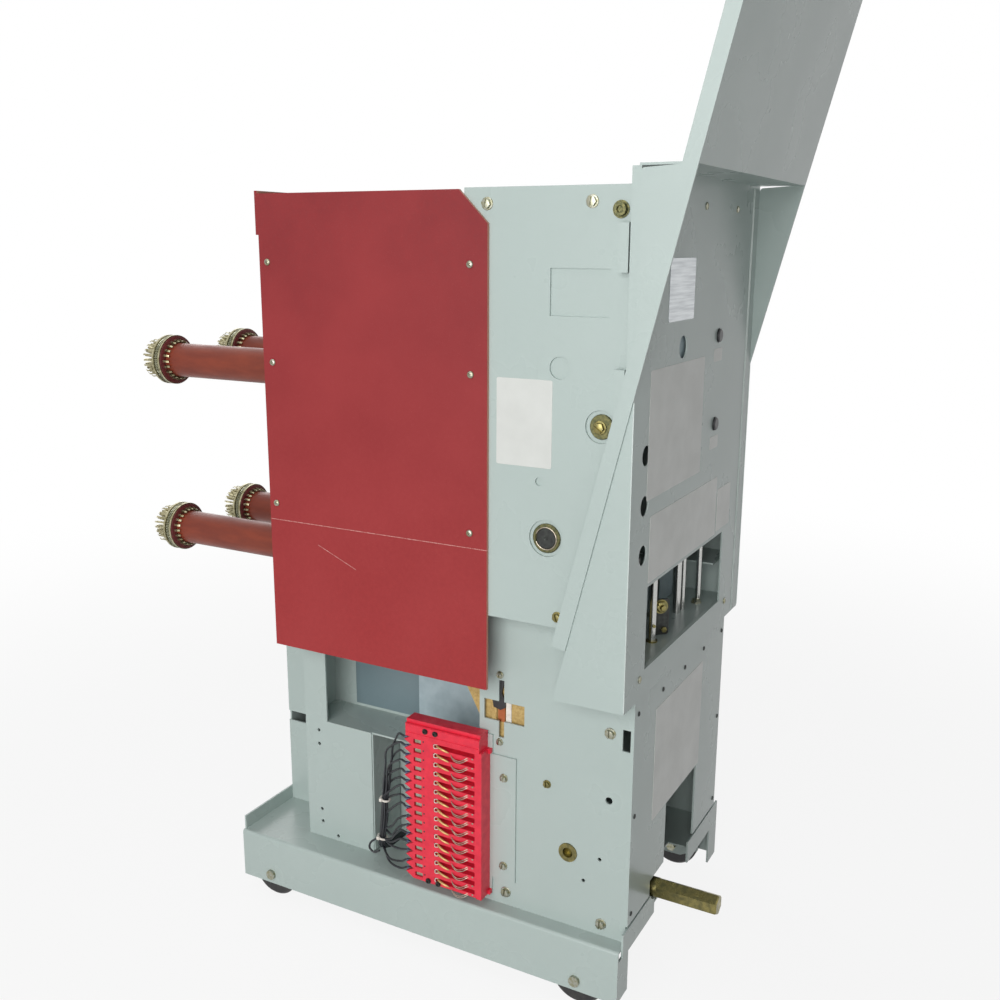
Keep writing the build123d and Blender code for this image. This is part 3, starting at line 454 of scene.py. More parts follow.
def make_finishes(colours):
    """Every finish of the breaker, each named for the real material and how it was made."""
    glossy_enamel(colours)
    polyester_sheet(colours)
    # Wound and varnished glass tube: close rings and a soft shine.
    simple_finish("varnished_tube", colours.sleeve, "#702F20", 14, (0.36, 0.5), bump=0.08,
                  stretch=(1, 0.25, 1), ior=1.5, specular_ior_level=0.35)
    # Injection-moulded polyester: clean bright red with a slight flow mottle.
    simple_finish("moulded_polyester", colours.block, "#D2203A", 12, (0.3, 0.42), bump=0.05, ior=1.5)
    # Painted shade on inner sheets: smooth blue-grey, darker than the outer enamel, a shaded copy of the same
    # sheet colour.
    simple_finish("shade_painted_sheet", "#75878C", "#6C7E83", 160, (0.3, 0.42), bump=0.03, ior=1.46)
    # Pale blue-grey sheet with a faint crystal cloud: painted light, a lit copy of the inner sheet colour for
    # the sheets seen through the openings.
    simple_finish("light_painted_sheet", "#B2C2C7", "#A3B4BA", 22, (0.28, 0.4), bump=0.02, ior=1.46)
    # Turned washers behind the contact fingers: dull maroon.
    simple_finish("dull_maroon_disc", "#6B2A2A", "#562223", 6, (0.45, 0.6), bump=0.03, ior=1.5)
    # Turned brass with olive chromate gone dark in the groove: greenish bronze.
    simple_finish("olive_chromate", "#6E6A48", "#4C4F3A", 4, (0.3, 0.5), metallic=1.0, bump=0.02)
    # Tinned copper braid: pale tan strands.
    simple_finish("tinned_braid", "#C4A06C", "#A98655", 1.2, (0.4, 0.55), metallic=0.7, bump=0.05)
    # Painted highlight on folded hems and hole rims: a bright cool line, brighter than the enamel, standing
    # in for the shine along the fold.
    simple_finish("hem_highlight_paint", "#C9D3CF", "#BFCAC6", 20, (0.2, 0.3), ior=1.5, coat_weight=0.3)
    # Electroplated zinc with clear passivation: cool grey with faint rainbow dulling.
    simple_finish("clear_zinc", "#A9AAA0", "#8C8A6E", 5, (0.24, 0.4), metallic=1.0, bump=0.02)
    # Zinc with yellow chromate: olive gold that shifts to green and pink in patches.
    simple_finish("yellow_chromate", "#8F8555", "#6A6646", 7, (0.24, 0.38), metallic=1.0, bump=0.02)
    # Silver plate on drawn copper: soft white gleam with warm tarnish.
    simple_finish("plated_silver", "#BAB496", "#837C5C", 5, (0.32, 0.48), metallic=1.0, bump=0.02)
    # Drawn stainless spring wire: bright and even.
    simple_finish("spring_wire", "#C9CAB9", "#A9AA96", 3, (0.16, 0.26), metallic=1.0)
    # Nickel-plated bronze wire: warm grey, softly bright.
    simple_finish("nickel_wire", "#A89F90", "#8C8274", 3, (0.3, 0.45), metallic=1.0)
    # Cold-drawn shaft steel, ground: fine marks round the bar.
    simple_finish("ground_steel", "#C2C3C0", "#A8A9A6", 4, (0.2, 0.3), metallic=1.0, stretch=(1, 1, 8))
    # Black oxide on turned steel: deep blue-black with a dull shine.
    simple_finish("black_oxide", "#3A3D3A", "#2A2B2A", 6, (0.3, 0.45), metallic=0.6)
    # Moulded phenolic: near black, satin.
    simple_finish("black_phenolic", "#17181A", "#232325", 8, (0.35, 0.5), bump=0.04, ior=1.55)
    # Cast polyurethane tyre on a pressed hub: dull black with scuffs.
    simple_finish("cast_tyre", "#18181A", "#2C2B2A", 10, (0.45, 0.62), bump=0.1, ior=1.5)
    # Extruded PVC insulation: black with a soft sheen.
    simple_finish("wire_insulation", "#17191D", "#22252A", 18, (0.34, 0.46), ior=1.5)
    # Dyed nylon terminal sleeves: dark blue.
    simple_finish("terminal_sleeve", "#232A5E", "#1A1F48", 6, (0.35, 0.45), ior=1.5)
    # Moulded natural nylon: milky white ties.
    simple_finish("natural_nylon", "#E6E2DA", "#D3CDC2", 6, (0.4, 0.5), ior=1.5)
    # Pressed cotton-phenolic board, sawn: tan with darker layers.
    simple_finish("pressed_board", "#BFA468", "#A6884F", 5, (0.5, 0.65), bump=0.08,
                  stretch=(8, 1, 1), ior=1.5)
    # Bare drawn copper bar: warm, slightly tarnished.
    simple_finish("drawn_copper", "#B9704A", "#9C5A3C", 20, (0.28, 0.42), metallic=1.0)
    # Spun stainless steel: even grey with fine rings round the cup.
    simple_finish("spun_steel", "#B9BAB8", "#9FA09E", 4, (0.26, 0.38), metallic=1.0, stretch=(1, 1, 10))
    # Cast cycloaliphatic epoxy: red-brown, smooth from the mould.
    simple_finish("cast_epoxy", "#7E3A2B", "#6C3024", 18, (0.3, 0.42), bump=0.03, ior=1.5)
    # Glazed alumina: clean white under a thick glaze.
    simple_finish("glazed_ceramic", "#ECE9E0", "#E0DBD0", 30, (0.12, 0.2), ior=1.52, coat_weight=0.4,
                  coat_roughness=0.05)
    # White polyester film: smooth, faintly yellowed.
    simple_finish("white_film", "#CCCECA", "#C6C8C4", 40, (0.3, 0.4), ior=1.5)
    # Anodised aluminium plate: fine brushed grain.
    simple_finish("brushed_plate", "#C4C8CA", "#AEB2B5", 3, (0.28, 0.4), metallic=1.0, stretch=(0.05, 1, 1))


FINISH_OF_SLOT = {
    "grey_paint": "glossy_enamel", "red_sheet": "polyester_sheet", "red_plastic": "moulded_polyester",
    "red_sleeve": "varnished_tube", "black_cable": "wire_insulation", "black_plastic": "black_phenolic",
    "black_tyre": "cast_tyre", "tan_board": "pressed_board", "yellow_zinc": "yellow_chromate",
    "zinc_plate": "clear_zinc", "bright_steel": "ground_steel", "ceramic": "glazed_ceramic",
    "copper": "drawn_copper", "silver_plate": "plated_silver",
}
# Sheets inside the housing that get the painted-shade finish.
SHADED_INNER_SHEETS = ("lower_rear_sheet", "upper_rear_sheet")


class BREAKER_OT_finishes(bpy.types.Operator):
    """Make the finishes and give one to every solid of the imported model"""
    bl_idname = "breaker.finishes"
    bl_label = "Finishes"

    def execute(self, context):
        make_finishes(context.scene.breaker_finish)
        slots = {part["node"]: part["material_slot"] for part in frame["record"]["subparts"]}
        for name, solid in frame["nodes"].items():
            solid.data.materials.clear()
            finish = "shade_painted_sheet" if name in SHADED_INNER_SHEETS else FINISH_OF_SLOT[slots[name]]
            solid.data.materials.append(bpy.data.materials[finish])
        return {"FINISHED"}


# Fasteners

def bolt(centre, axis, flange, slot, turn):
    """A slotted hexagon head on its washer flange."""
    washer = turned([(0, 0), (flange, 0), (flange, 0.7), (flange * 0.93, 1.3), (flange * 0.6, 1.6), (0, 1.6)],
                    centre, axis, 28)
    seat = np.asarray(centre, float) + 1.4 * np.asarray(axis, float)
    head = slotted(seat, axis, flange * 0.78, flange * 0.62, slot, turn, hexagon=True, dome=flange * 0.1)
    return [washer, head]


def bolts(places, flange, slot, turns):
    """A bolt at each place, which is its centre and direction."""
    return sum((bolt(*place, flange, slot, turn) for place, turn in zip(places, turns)), [])


def round_screw(centre, axis, radius, slot, turn):
    """A slotted round head without a washer."""
    return [slotted(centre, axis, radius, radius * 0.55, slot, turn, dome=radius * 0.3)]


def pan_screw(centre, axis, radius, turn):
    """A pan head with a cross recess: the dome sinks where the cross distance is small."""
    arm_half, recess_reach, depth = 0.14, 0.55, 0.3
    rings = np.array([0, 0.12, 0.24, 0.36, 0.48, 0.6, 0.75, 0.9, 1.0, 1.0])[:, None]
    angle = np.linspace(0, 2 * math.pi, 48, endpoint=False)
    x, y = rings * np.cos(angle), rings * np.sin(angle)
    arm, reach = np.minimum(np.abs(x), np.abs(y)), np.maximum(np.abs(x), np.abs(y))
    sink = np.clip((arm_half - arm) / 0.06, 0, 1) * np.clip((recess_reach - reach) / 0.12, 0, 1)
    height = 0.55 * np.sqrt(np.maximum(1.02 - rings ** 2, 0)) + 0.08 - depth * sink
    height[-1] = 0
    dome = placed(centre, axes(axis, turn), radius * x, radius * y, radius * height)
    base = np.broadcast_to(np.asarray(centre, float), dome[:1].shape)
    return [(np.concatenate([dome, base]), False, True)]


def socket_cap(centre, axis, radius, height):
    """A cap screw with a hexagon socket on a plain washer."""
    socket, cap, washer = radius * 0.36, radius * 0.8, 1.6
    return [turned([(0, 0), (radius, 0), (radius, washer), (cap, washer), (cap, height - 1),
                    (radius * 0.72, height), (socket * 1.15, height), (socket, height - 0.6, 1),
                    (socket, height * 0.4, 1), (0, height * 0.35)], centre, axis, 36)]


def both_sides(places):
    """Places on the left side of the truck and the same on its right side, each with its direction."""
    return [(place, LEFT) for place in places] + [((-x, y, z), RIGHT) for x, y, z in places]


class BREAKER_OT_fasteners(bpy.types.Operator):
    """Screws and bolts of the sheet metal and the red sheets"""
    bl_idname = "breaker.fasteners"
    bl_label = "Fasteners"

    def execute(self, context):
        sizes = context.scene.breaker_fasteners
        flange, slot, pan = sizes.flange / MM, sizes.slot / MM, sizes.pan / MM
        # Each group of heads takes its own stretch of these turns.
        turns = np.random.default_rng(7).normal(0.0, 0.25, 80)

        large = [(SIDE_FACE, y, z) for y, z in ((-344, 439), (-338, 131), (-178, 134))]
        large += [(PANEL_FACE, y, z) for y, z in ((-164, 1165), (-314, 1166))]
        heads = bolts(both_sides(large), flange, slot, turns)
        piece("large_bolt_heads", heads, "clear_zinc")

        medium = [((BRACKET_FACE, -175, z), LEFT) for z in (328, 180)]
        small = [(SIDE_FACE, -166, z) for z in (492, 384)]
        heads = bolts(medium, flange * 0.8, slot * 0.85, turns[20:])
        heads += bolts(both_sides(small), flange * 0.68, slot * 0.8, turns[24:])
        piece("small_bolt_heads", heads, "clear_zinc")

        low = [(x, LOWER_COVER_FACE, 471) for x in (-192, -93, 5, 98, 195)]
        low += [(x, LOWER_COVER_FACE, z) for x in (-195, 195) for z in (313, 155)]
        high = [(x, COVER_FACE, 1167) for x in (-160, -8, 144)] + [(x, COVER_FACE, 528) for x in (-206, 186)]
        for name, places, size, finish, first in (("cover_screws", high, 0.6, "clear_zinc", 39),
                                                  ("lower_cover_screws", low, 0.42, "black_oxide", 30)):
            heads = []
            for centre, turn in zip(places, turns[first:]):
                heads += round_screw(centre, FRONT, flange * size, slot * 0.6, turn)
            piece(name, heads, finish)

        sheet = [(BARRIER_FACE, y, z) for y, z in (
            (206, 1086), (-140, 1087), (204, 938), (-141, 940), (208, 719), (-139, 716))]
        strip = [((x, STRIP_FACE, 1157), REAR) for x in (-237, -88, 88, 237)]
        heads = []
        for (centre, axis), turn in zip([*both_sides(sheet), *strip], turns[50:]):
            heads += pan_screw(centre, axis, pan, turn * 3)
        piece("sheet_screws", heads, "clear_zinc")

        caps = bolts(both_sides([(PANEL_FACE, -276, 613)]), 8, slot, (0.3, 0.3))
        caps += bolt((PANEL_FACE - 0.2, -332, 882), LEFT, 9.4, slot, 0.9)
        caps += bolt((SIDE_FACE, -246, 335), LEFT, 6.5, slot * 0.8, 0.1)
        piece("yellow_cap_screws", caps, "yellow_chromate")

        cap_places = both_sides([(PANEL_FACE, -353, 1156)])
        discs = [part for place in cap_places for part in socket_cap(*place, 11, 6)]
        pivot = (-257, 723)
        discs.append(turned([(0, 0), (16.6, 0), (16.6, 2.4), (15.8, 3.2), (0, 3.2)], (PIVOT_FACE, -334, 883),
                            LEFT, 48))
        discs.append(turned([(0, 0), (20.6, 0), (20.6, 2.6), (19.4, 3.6), (16.2, 3.6), (15.4, 2.4), (0, 2.4)],
                            (PIVOT_FACE, *pivot), LEFT, 56))
        piece("pivot_discs", discs, "olive_chromate")
        pin = turned([(0, 0), (14.4, 0), (14.4, 1.4), (13.4, 2.2), (3, 2.2), (1.6, 1.2), (0, 1.2)],
                     (PIVOT_FACE - 2.4, *pivot), LEFT, 48)
        piece("dark_pivot_pin", [pin], "black_oxide")
        wire = ring((PIVOT_FACE - 3.8, *pivot), REAR, UP, 15.6, 56, gap=0.35)
        piece("pivot_snap_ring", [tube(wire, 0.9, 8, reference=LEFT)], "nickel_wire")
        return {"FINISHED"}


# Thin plates

class BREAKER_OT_plates(bpy.types.Operator):
    """Thin white films and a brushed plate on the sheet metal"""
    bl_idname = "breaker.plates"
    bl_label = "Thin plates"

    def execute(self, context):
        films = [plate((PANEL_FACE, -221, 879.5), LEFT, 84, 119, 0.5)]
        films += [plate((x, COVER_FACE, z), FRONT, width, height, 0.5) for x, z, width, height in (
            (-94, 868, 222, 174), (-39, 709.5, 298, 95), (150, 700, 70, 70), (80, 952, 40, 20),
            (80, 817, 40, 20))]
        films.append(plate((-12, LOWER_COVER_FACE, 359), FRONT, 218, 182, 0.5))
        piece("bare_films", films, "white_film")
        brushed = plate((-96, COVER_FACE, 1055), FRONT, 102, 84, 0.8)
        piece("bare_name_plate", [brushed], "brushed_plate")
        return {"FINISHED"}


# Contacts

FINGERS = 22
# Places along y, then a garter spring's reach from the stem's middle and the radii of its coil and wire
WASHER_PLACE, BAND_PLACE, SPRING_PLACES = 473.9, 480.9, (483.0, 486.2)
SPRING_REACH, COIL, SPRING_WIRE = 39.1, 1.1, 0.45


class BREAKER_OT_contacts(bpy.types.Operator):
    """Maroon washers, dark bands and garter springs of the six plug contacts"""
    bl_idname = "breaker.contacts"
    bl_label = "Contact springs"

    def execute(self, context):
        coils = context.scene.breaker_contacts.coils
        turn = np.linspace(0, 2 * math.pi, coils * 10, endpoint=False)
        reach = SPRING_REACH + COIL * np.cos(coils * turn)
        draw = np.random.default_rng(3)
        for level, height in STEM_HEIGHTS.items():
            springs, discs, bands, leaves = [], [], [], []
            for x in POLES:
                discs.append(turned([(28.3, 0), (38.6, 0), (39.6, 0.5), (39.6, 1.7), (28.3, 1.7), (28.3, 0)],
                                    (x, WASHER_PLACE, height), REAR, 64))
                bands.append(turned([(36.2, 0), (37.9, 0), (37.9, 7.2), (36.2, 7.2), (36.2, 0)],
                                    (x, BAND_PLACE, height), REAR, 64))
                for y in SPRING_PLACES:
                    path = np.stack([x + reach * np.cos(turn), y + COIL * np.sin(coils * turn),
                                     height + reach * np.sin(turn)], axis=1)
                    springs.append(tube(path, SPRING_WIRE, 5, reference=REAR, closed=True))
                leaves += finger_leaves(x, height, draw)
            piece(f"contact_washers_{level}", discs, "dull_maroon_disc")
            piece(f"contact_bands_{level}", bands, "olive_chromate")
            piece(f"garter_springs_{level}", springs, "spring_wire")
            piece(f"finger_leaves_{level}", leaves, "plated_silver")
        return {"FINISHED"}


def finger_leaves(x, height, draw):
    """Leaf springs over the fingers and their tails round the stem, none quite like the next.

    A leaf's middle line is (r(s), y(s)), turned about the contact's axis by its own angle.
    """
    leaves = []
    tail = [(30.4, 464.5), (31.6, 466.5), (32.0, 473.0)]
    for number in range(FINGERS):
        angle = math.radians(number * 360 / FINGERS + draw.normal(0, 0.9))
        out = np.array([math.cos(angle), 0, math.sin(angle)])
        across = np.array([-math.sin(angle), 0, math.cos(angle)])
        splay = draw.uniform(-0.5, 1.5)
        leaf = [(31.2, 494), (31.4 + splay * 0.3, 502), (30.6 + splay, 512), (31.8 + splay, 519),
                (29.6 + splay, 522.6)]
        for line, width, thick in ((leaf, 2.6, 0.9), (tail, 3.2, 1.4)):
            reach, along = np.transpose(line)
            path = np.array([x, 0, height]) + np.outer(reach, out) + np.outer(along, REAR)
            leaves.append(bar(path, width, thick, across))
    return leaves


# Poles

# Foot and head of each metal band on an interrupter, and places along y
CUP_HEIGHTS = ((661.5, 677.0), (768.0, 783.0), (874.0, 889.5))
INTERRUPTER_PLACE = 70
SHED_PLACES = range(-112, 9, 24)


class BREAKER_OT_poles(bpy.types.Operator):
    """Metal end cups and bands of the interrupters, and sheds of the post insulators"""
    bl_idname = "breaker.poles"
    bl_label = "Poles"

    def execute(self, context):
        cups, sheds = [], []
        shed = [(24.6, -5), (27, -3.5), (32, -1.2), (33, 0), (32, 1.2), (27, 3.5), (24.6, 5), (24.6, -5)]
        for x in POLES:
            for low, high in CUP_HEIGHTS:
                tall = high - low
                cups.append(turned([(47.6, 0), (49, 0.6), (49.6, 2), (49.6, tall - 2), (49, tall - 0.6),
                                    (47.6, tall), (47.6, 0)], (x, INTERRUPTER_PLACE, low), UP, 72))
            sheds += [turned(shed, (x, y, height), REAR, 48) for height in STEM_HEIGHTS.values()
                      for y in SHED_PLACES]
        piece("interrupter_cups", cups, "spun_steel")
        piece("insulator_sheds", sheds, "cast_epoxy")
        return {"FINISHED"}


# Secondary block

BLOCK_FACE = -235.0
FIRST_ROW, ROW_PITCH = 136.0, 15.27


class BREAKER_OT_block(bpy.types.Operator):
    """Terminals, frames, braids, spring hooks and black screws of the secondary block, with painted glints on
    its ribs and painted shade in its small holes
    """
    bl_idname = "breaker.block"
    bl_label = "Secondary block"

    def execute(self, context):
        draw = np.random.default_rng(5)
        hooks, frames, braids, ends, hole_shades = [], [], [], [], []
        for row in range(context.scene.breaker_contacts.rows):
            z = FIRST_ROW + row * ROW_PITCH
            bow = [(-232, -74, z + 3), (-235.6, -67.5, z + 3), (-235.6, -66.6, z), (-235.6, -67.5, z - 3),
                   (-232, -74, z - 3)]
            frames.append(tube(curve(bow, 3), 0.65, 6, reference=RIGHT))
            slip = draw.uniform(-1.2, 1.2)
            braid = [(-229, -66, z + 1.5), (-235.4, -73, z + 1), (-237.2, -83, z - 2 + slip),
                     (-235.5, -93, z - 5.5 + slip)]
            braids.append(tube(curve(braid, 5), [1.3] * 5 + [1.8] * 9 + [1.2, 0.6], 8, reference=UP))
            hook = [(-233, -95, z - 8 + slip), (-237.5, -101, z - 12.5), (-239, -109, z - 15.2 + slip * 0.5),
                    (-238.6, -117, z - 13.8), (-236.6, -124, z - 9.5), (-232, -129, z - 6.5)]
            hooks += [tube(curve(np.add(hook, shift), 5), 0.6, 6, reference=UP)
                      for shift in ((0, 0, 0), (0.4, 1.0, 2.4))]
            ends.append(plate((-229.5, -36, z), LEFT, 12, 6.6, 3.2, corner=1))
            # Tiny zinc plates at the far ends of the ribs: painted glints standing in for highlights on the
            # red moulding.
            ends.append(plate((-235.2, -134.5, z - 5.2), LEFT, 3, 2.4, 0.9, corner=0.8))
            # Black discs on the small holes: painted shade in the holes.
            hole_shades.append(turned([(0, 0), (1.3, 0), (1.3, 0.3), (0, 0.3)], (BLOCK_FACE, -47, z + 2.5),
                                LEFT, 12))
        piece("wire_braids", braids, "tinned_braid")
        piece("spring_hooks", hooks, "nickel_wire")
        piece("contact_frames", frames, "natural_nylon")
        piece("row_terminals_and_glints", ends, "clear_zinc", bevel=0.3)
        piece("row_hole_shades", hole_shades, "black_phenolic")
        heads = []
        for x, y, z in ((BLOCK_FACE - 2, -52, 387), (BLOCK_FACE - 2, -70, 387),
                        (BLOCK_FACE, -54, 130.5), (BLOCK_FACE, -72, 130.5)):
            heads += socket_cap((x, y, z), LEFT, 4.6, 3.4)
        piece("block_screws", heads, "black_oxide")
        ridges = [plate((BLOCK_FACE - 2, -81.5, z), LEFT, 128, 2.2, 1.1, corner=0.9) for z in (378.5, 392.0)]
        piece("cap_ridges", ridges, "moulded_polyester")
        return {"FINISHED"}


# Wiring

# The bundle's middle line: its first DROP points lead down, the rest lead to the tower wall
TRUNK = np.array([(-219, 20, 352), (-217, 27, 335), (-215, 32, 300), (-214, 37, 262), (-213.5, 41, 238),
                  (-213, 43, 205), (-211, 49, 168), (-206, 53.5, 149), (-190, 56, 137), (-165, 57, 134),
                  (-135, 57, 134), (-103, 57, 134)], float)
DROP = 9
TIES = ((-213.5, 41, 238), (-211, 49.5, 166))
# Turn from each wire of the bundle to the next, close to the golden angle
WIRE_TURN = 2.4


def trunk_from(height, shift):
    """The trunk's middle line below a height, moved across by a shift that the ties narrow."""
    down = TRUNK[:DROP]
    start = [np.interp(-height, -down[:, 2], down[:, part]) for part in range(3)]
    line = np.vstack([start, TRUNK[TRUNK[:, 2] < height - 6]])
    tight = 1 - 0.25 * sum(np.exp(-((line[:, 2] - tie) / 9) ** 2) for _, _, tie in TIES)
    return line + tight[:, None] * np.asarray(shift, float)


class BREAKER_OT_wiring(bpy.types.Operator):
    """Control wires from the rows of the block into the tied bundle"""
    bl_idname = "breaker.wiring"
    bl_label = "Control wires"

    def execute(self, context):
        radius = context.scene.breaker_wiring.wire / MM / 2
        rows = context.scene.breaker_contacts.rows
        draw = np.random.default_rng(11)
        wires, sleeves = [], []
        for row in range(rows):
            z = FIRST_ROW + row * ROW_PITCH
            spread, way = 5.4 * math.sqrt((row + 0.5) / rows), WIRE_TURN * row
            shift = (spread * math.cos(way), spread * math.sin(way), 0)
            tip = [(-224, -24, z), (-226 - draw.uniform(0, 2), -9, z + draw.uniform(-0.5, 1.5))]
            # Wires of the upper rows arch over and join the drop; the lower ones sweep to its foot.
            if row >= 7:
                last = row == rows - 1
                arch = [(-224, 5 + 0.5 * last, z + draw.uniform(0.5, 4) - 3 * last)]
                join = min(z - draw.uniform(20, 30), 346)
            elif row >= 5:
                arch = [(-221, 12, z - 14), (-216, 28, z - 34)]
                join = 180
            elif row >= 2:
                arch = [(-222, 8, z - 2 + draw.uniform(-3, 2)), (-218, 28, 166 + (row - 3) * 6)]
                join = 162
            else:
                arch = [(-223, 8, z - 8 - 3 * row), (-219, 32, 131 + 6 * row)]
                join = 146
            path = np.vstack([tip, arch, trunk_from(join, shift)])
            wires.append(tube(curve(path, 6), radius, 8))
            sleeves.append(tube(curve(tip, 4), radius * 1.28, 8))
        loop = [(-212, 50, 164), (-213, 62, 159), (-214, 72, 150), (-214, 74, 140), (-213, 66, 134),
                (-210, 57, 138)]
        wires.append(tube(curve(loop, 6), radius, 8))
        piece("control_wires", wires, "wire_insulation", replaces=("harness",))
        piece("wire_sleeves", sleeves, "terminal_sleeve")
        ties = []
        for x, y, z in TIES:
            band = ring((x, y, z), RIGHT, (0, 1, 2 / 7.4), 7.4, 40)
            ties.append(tube(band, 1.7, 8, reference=UP, closed=True))
            ties.append(plate((x - 7, y + 3, z + 1), LEFT, 5, 5.6, 3.4, corner=1))
        piece("nylon_ties", ties, "natural_nylon")
        return {"FINISHED"}


# Mechanism seen through the openings

SHELF_TOP = 535.0
ROD_PLACE = (-74, -352)
# The small bracket behind the window turns its face to the front left
SLANT, BRACKET_NUT = (-0.74, -0.67, 0), (-42.2, -353, 581)


class BREAKER_OT_mechanism(bpy.types.Operator):
    """Nuts, washers, thin rods and bolts behind the window and the cross-shaped opening"""
    bl_idname = "breaker.mechanism"
    bl_label = "Mechanism details"

    def execute(self, context):
        rods = [tube([(x, y, SHELF_TOP), (x, y, 655)], radius, 24)
                for x, y, radius in ((86, -344, 3.5), (138, -353, 4.5), (*ROD_PLACE, 5.5))]
        piece("thin_rods", rods, "ground_steel")
        nuts = [turned(profile, centre, axis, steps) for profile, centre, axis, steps in (
            ([(0, 0), (8, 0, 1), (8, 6, 1), (7, 7), (0, 7)], BRACKET_NUT, SLANT, 24),
            ([(0, 0), (4.5, 0), (4.5, 11), (3.8, 12), (0, 12)], BRACKET_NUT, SLANT, 24),
            ([(0, 0), (11, 0), (11, 1.8), (0, 1.8)], BRACKET_NUT, SLANT, 36),
            ([(0, 0), (4, 0, 1), (4, 4, 1), (0, 4)], (-38.5, -357, 544), SLANT, 24),
            ([(0, 0), (2.6, 0), (2.6, 2.4), (0, 2.4)], (-77.8, -355.5, 561), SLANT, 20),
            ([(5.6, 0), (8.6, 0), (8.6, 2.4), (5.6, 2.4), (5.6, 0)], (*ROD_PLACE, SHELF_TOP), UP, 36),
            ([(8.1, 0), (13.5, 0, 1), (13.5, 9, 1), (8.1, 9), (8.1, 0)],
             (-158, -352, SHELF_TOP + 3.2), UP, 36))]
        piece("plated_nuts", nuts, "yellow_chromate")
        bracket = plate((-40, -351, 564), SLANT, 28, 57, 3, corner=4)
        piece("dark_bracket", [bracket], "black_oxide", bevel=0.4)
        places = ((-60, -250), (-20, -300), (10, -330), (35, -312), (112, -330), (134, -352))
        heads = [turned([(0, 0), (8.5, 0), (8.5, 1.5), (6.5, 1.6, 1), (6.5, 6, 1), (5.6, 6.6), (0, 6.6)],
                        (*place, SHELF_TOP), UP, 24, turn=0.3 * number)
                 for number, place in enumerate(places)]
        piece("shelf_bolts", heads, "clear_zinc")

        # Pale plates behind the window and on the tower wall beside the bay: painted light, a lit copy of the
        # inner sheet colour.
        sheets = [plate(centre, FRONT, width, height, 2, corner=2) for centre, width, height in (
            ((126, -300, 596), 62, 120), ((44, -296, 596), 14, 120), ((-30, -240, 566), 130, 60))]
        sheets.append(plate((-103, -43, 410), LEFT, 174, 150, 1.2, corner=1))
        piece("inner_sheets", sheets, "light_painted_sheet")
        # A dark plate on the tower wall in the bay: painted shade, the shaded copy beside the lit plate next
        # to it.
        bay = plate((-102, 109, 410), LEFT, 130, 150, 1.2, corner=1)
        piece("bay_shade_sheet", [bay], "shade_painted_sheet")
        for name, y, z, width, height, thick, finish, slot in (
                ("copper_strip", -166, 428, 12, 26, 1.8, "drawn_copper", "copper"),
                ("pale_strip", -178, 430, 9, 34, 1.4, "natural_nylon", "tan_board")):
            piece(name, [plate((-200.6, y, z), LEFT, width, height, thick, corner=1)], finish)
        piece("hooked_lever", [hooked_lever()], "black_phenolic",
              replaces=("interlock_lever",))
        return {"FINISHED"}


def hooked_lever():
    """A flat hooked lever: its outline at four depths, drawn in at both faces, and closed at its middle."""
    outline = np.array([(-173, 439), (-165, 434), (-153, 437), (-151, 448), (-158, 455), (-162, 466),
                        (-162, 480), (-168, 488), (-173, 488), (-170, 474), (-167, 462), (-172, 452)], float)
    middle, drawn_in = outline.mean(0), 0.93
    inner = middle + (outline - middle) * drawn_in
    closing = np.tile((-166.0, 458.0), (len(outline), 1))
    lines = ((-204, closing), (-204, inner), (-203.6, outline), (-200.4, outline), (-200, inner),
             (-200, closing))
    return np.array([np.insert(line, 0, x, axis=1) for x, line in lines]), False, True


# Folded hems and edges

class BREAKER_OT_hems(bpy.types.Operator):
    """Folded hems and hole rims of the covers as thin rounded strips, with a painted highlight along them"""
    bl_idname = "breaker.hems"
    bl_label = "Hems"

    def execute(self, context):
        # Strips along the folds, brighter than the enamel: a painted highlight.
        strips = [tube([(x, y, 500), (x, y, top)], 0.9, 8) for x, y, top in (
            (228.5, COVER_FACE - 0.2, 1203), (233.5, COVER_FACE - 0.2, 1203),
            (-262, COVER_FACE, 920), (262, COVER_FACE, 920))]
        piece("cover_hem_highlights", strips, "hem_highlight_paint")
        # Rings round the holes, bright like the hems: a painted highlight on their edges.
        rims = [ring((x, COVER_FACE + 0.8, z), RIGHT, UP, radius, 48) for x, z, radius in (
            (-211, 844, 14.4), (-211, 776, 14.4), (-211, 708, 14.4), (-82, 976, 16.4))]
        rims = [tube(rim, 0.7, 6, reference=REAR, closed=True) for rim in rims]
        piece("hole_rim_highlights", rims, "hem_highlight_paint")
        # A pale plate behind the round hole: painted light inside it.
        backing = plate((-82, COVER_FACE + 7.5, 976), FRONT, 46, 46, 2, corner=6)
        piece("hole_backing", [backing], "light_painted_sheet")
        flanges = [plate((x, 87, 221), FRONT, 77, 212, 2, corner=2) for x in (-143.5, 143.5)]
        piece("side_plate_returns", flanges, "glossy_enamel")
        return {"FINISHED"}


# Stage

WHITE = (1, 1, 1, 1)
FLOOR_HALF = 9.0


def shown_rays(tree):
    """One for rays from the camera, from a reflection or through glass, and zero for the rest."""
    path = add(tree, "LightPath")
    seen = path.outputs["Is Camera Ray"]
    for other in ("Is Glossy Ray", "Is Transmission Ray"):
        seen = add(tree, "Math", {0: seen, 1: path.outputs[other]}, operation="MAXIMUM")
    return seen


def put(name, data, place, side, top, back):
    """A camera or a lamp at a place, with its own axes along three directions."""
    thing = bpy.data.objects.new(name, data)
    bpy.context.scene.collection.objects.link(thing)
    facing = np.stack([side, top, back], 1).tolist()
    thing.matrix_world = Matrix([(*row, at) for row, at in zip(facing, place)] + [(0, 0, 0, 1)])
    return thing


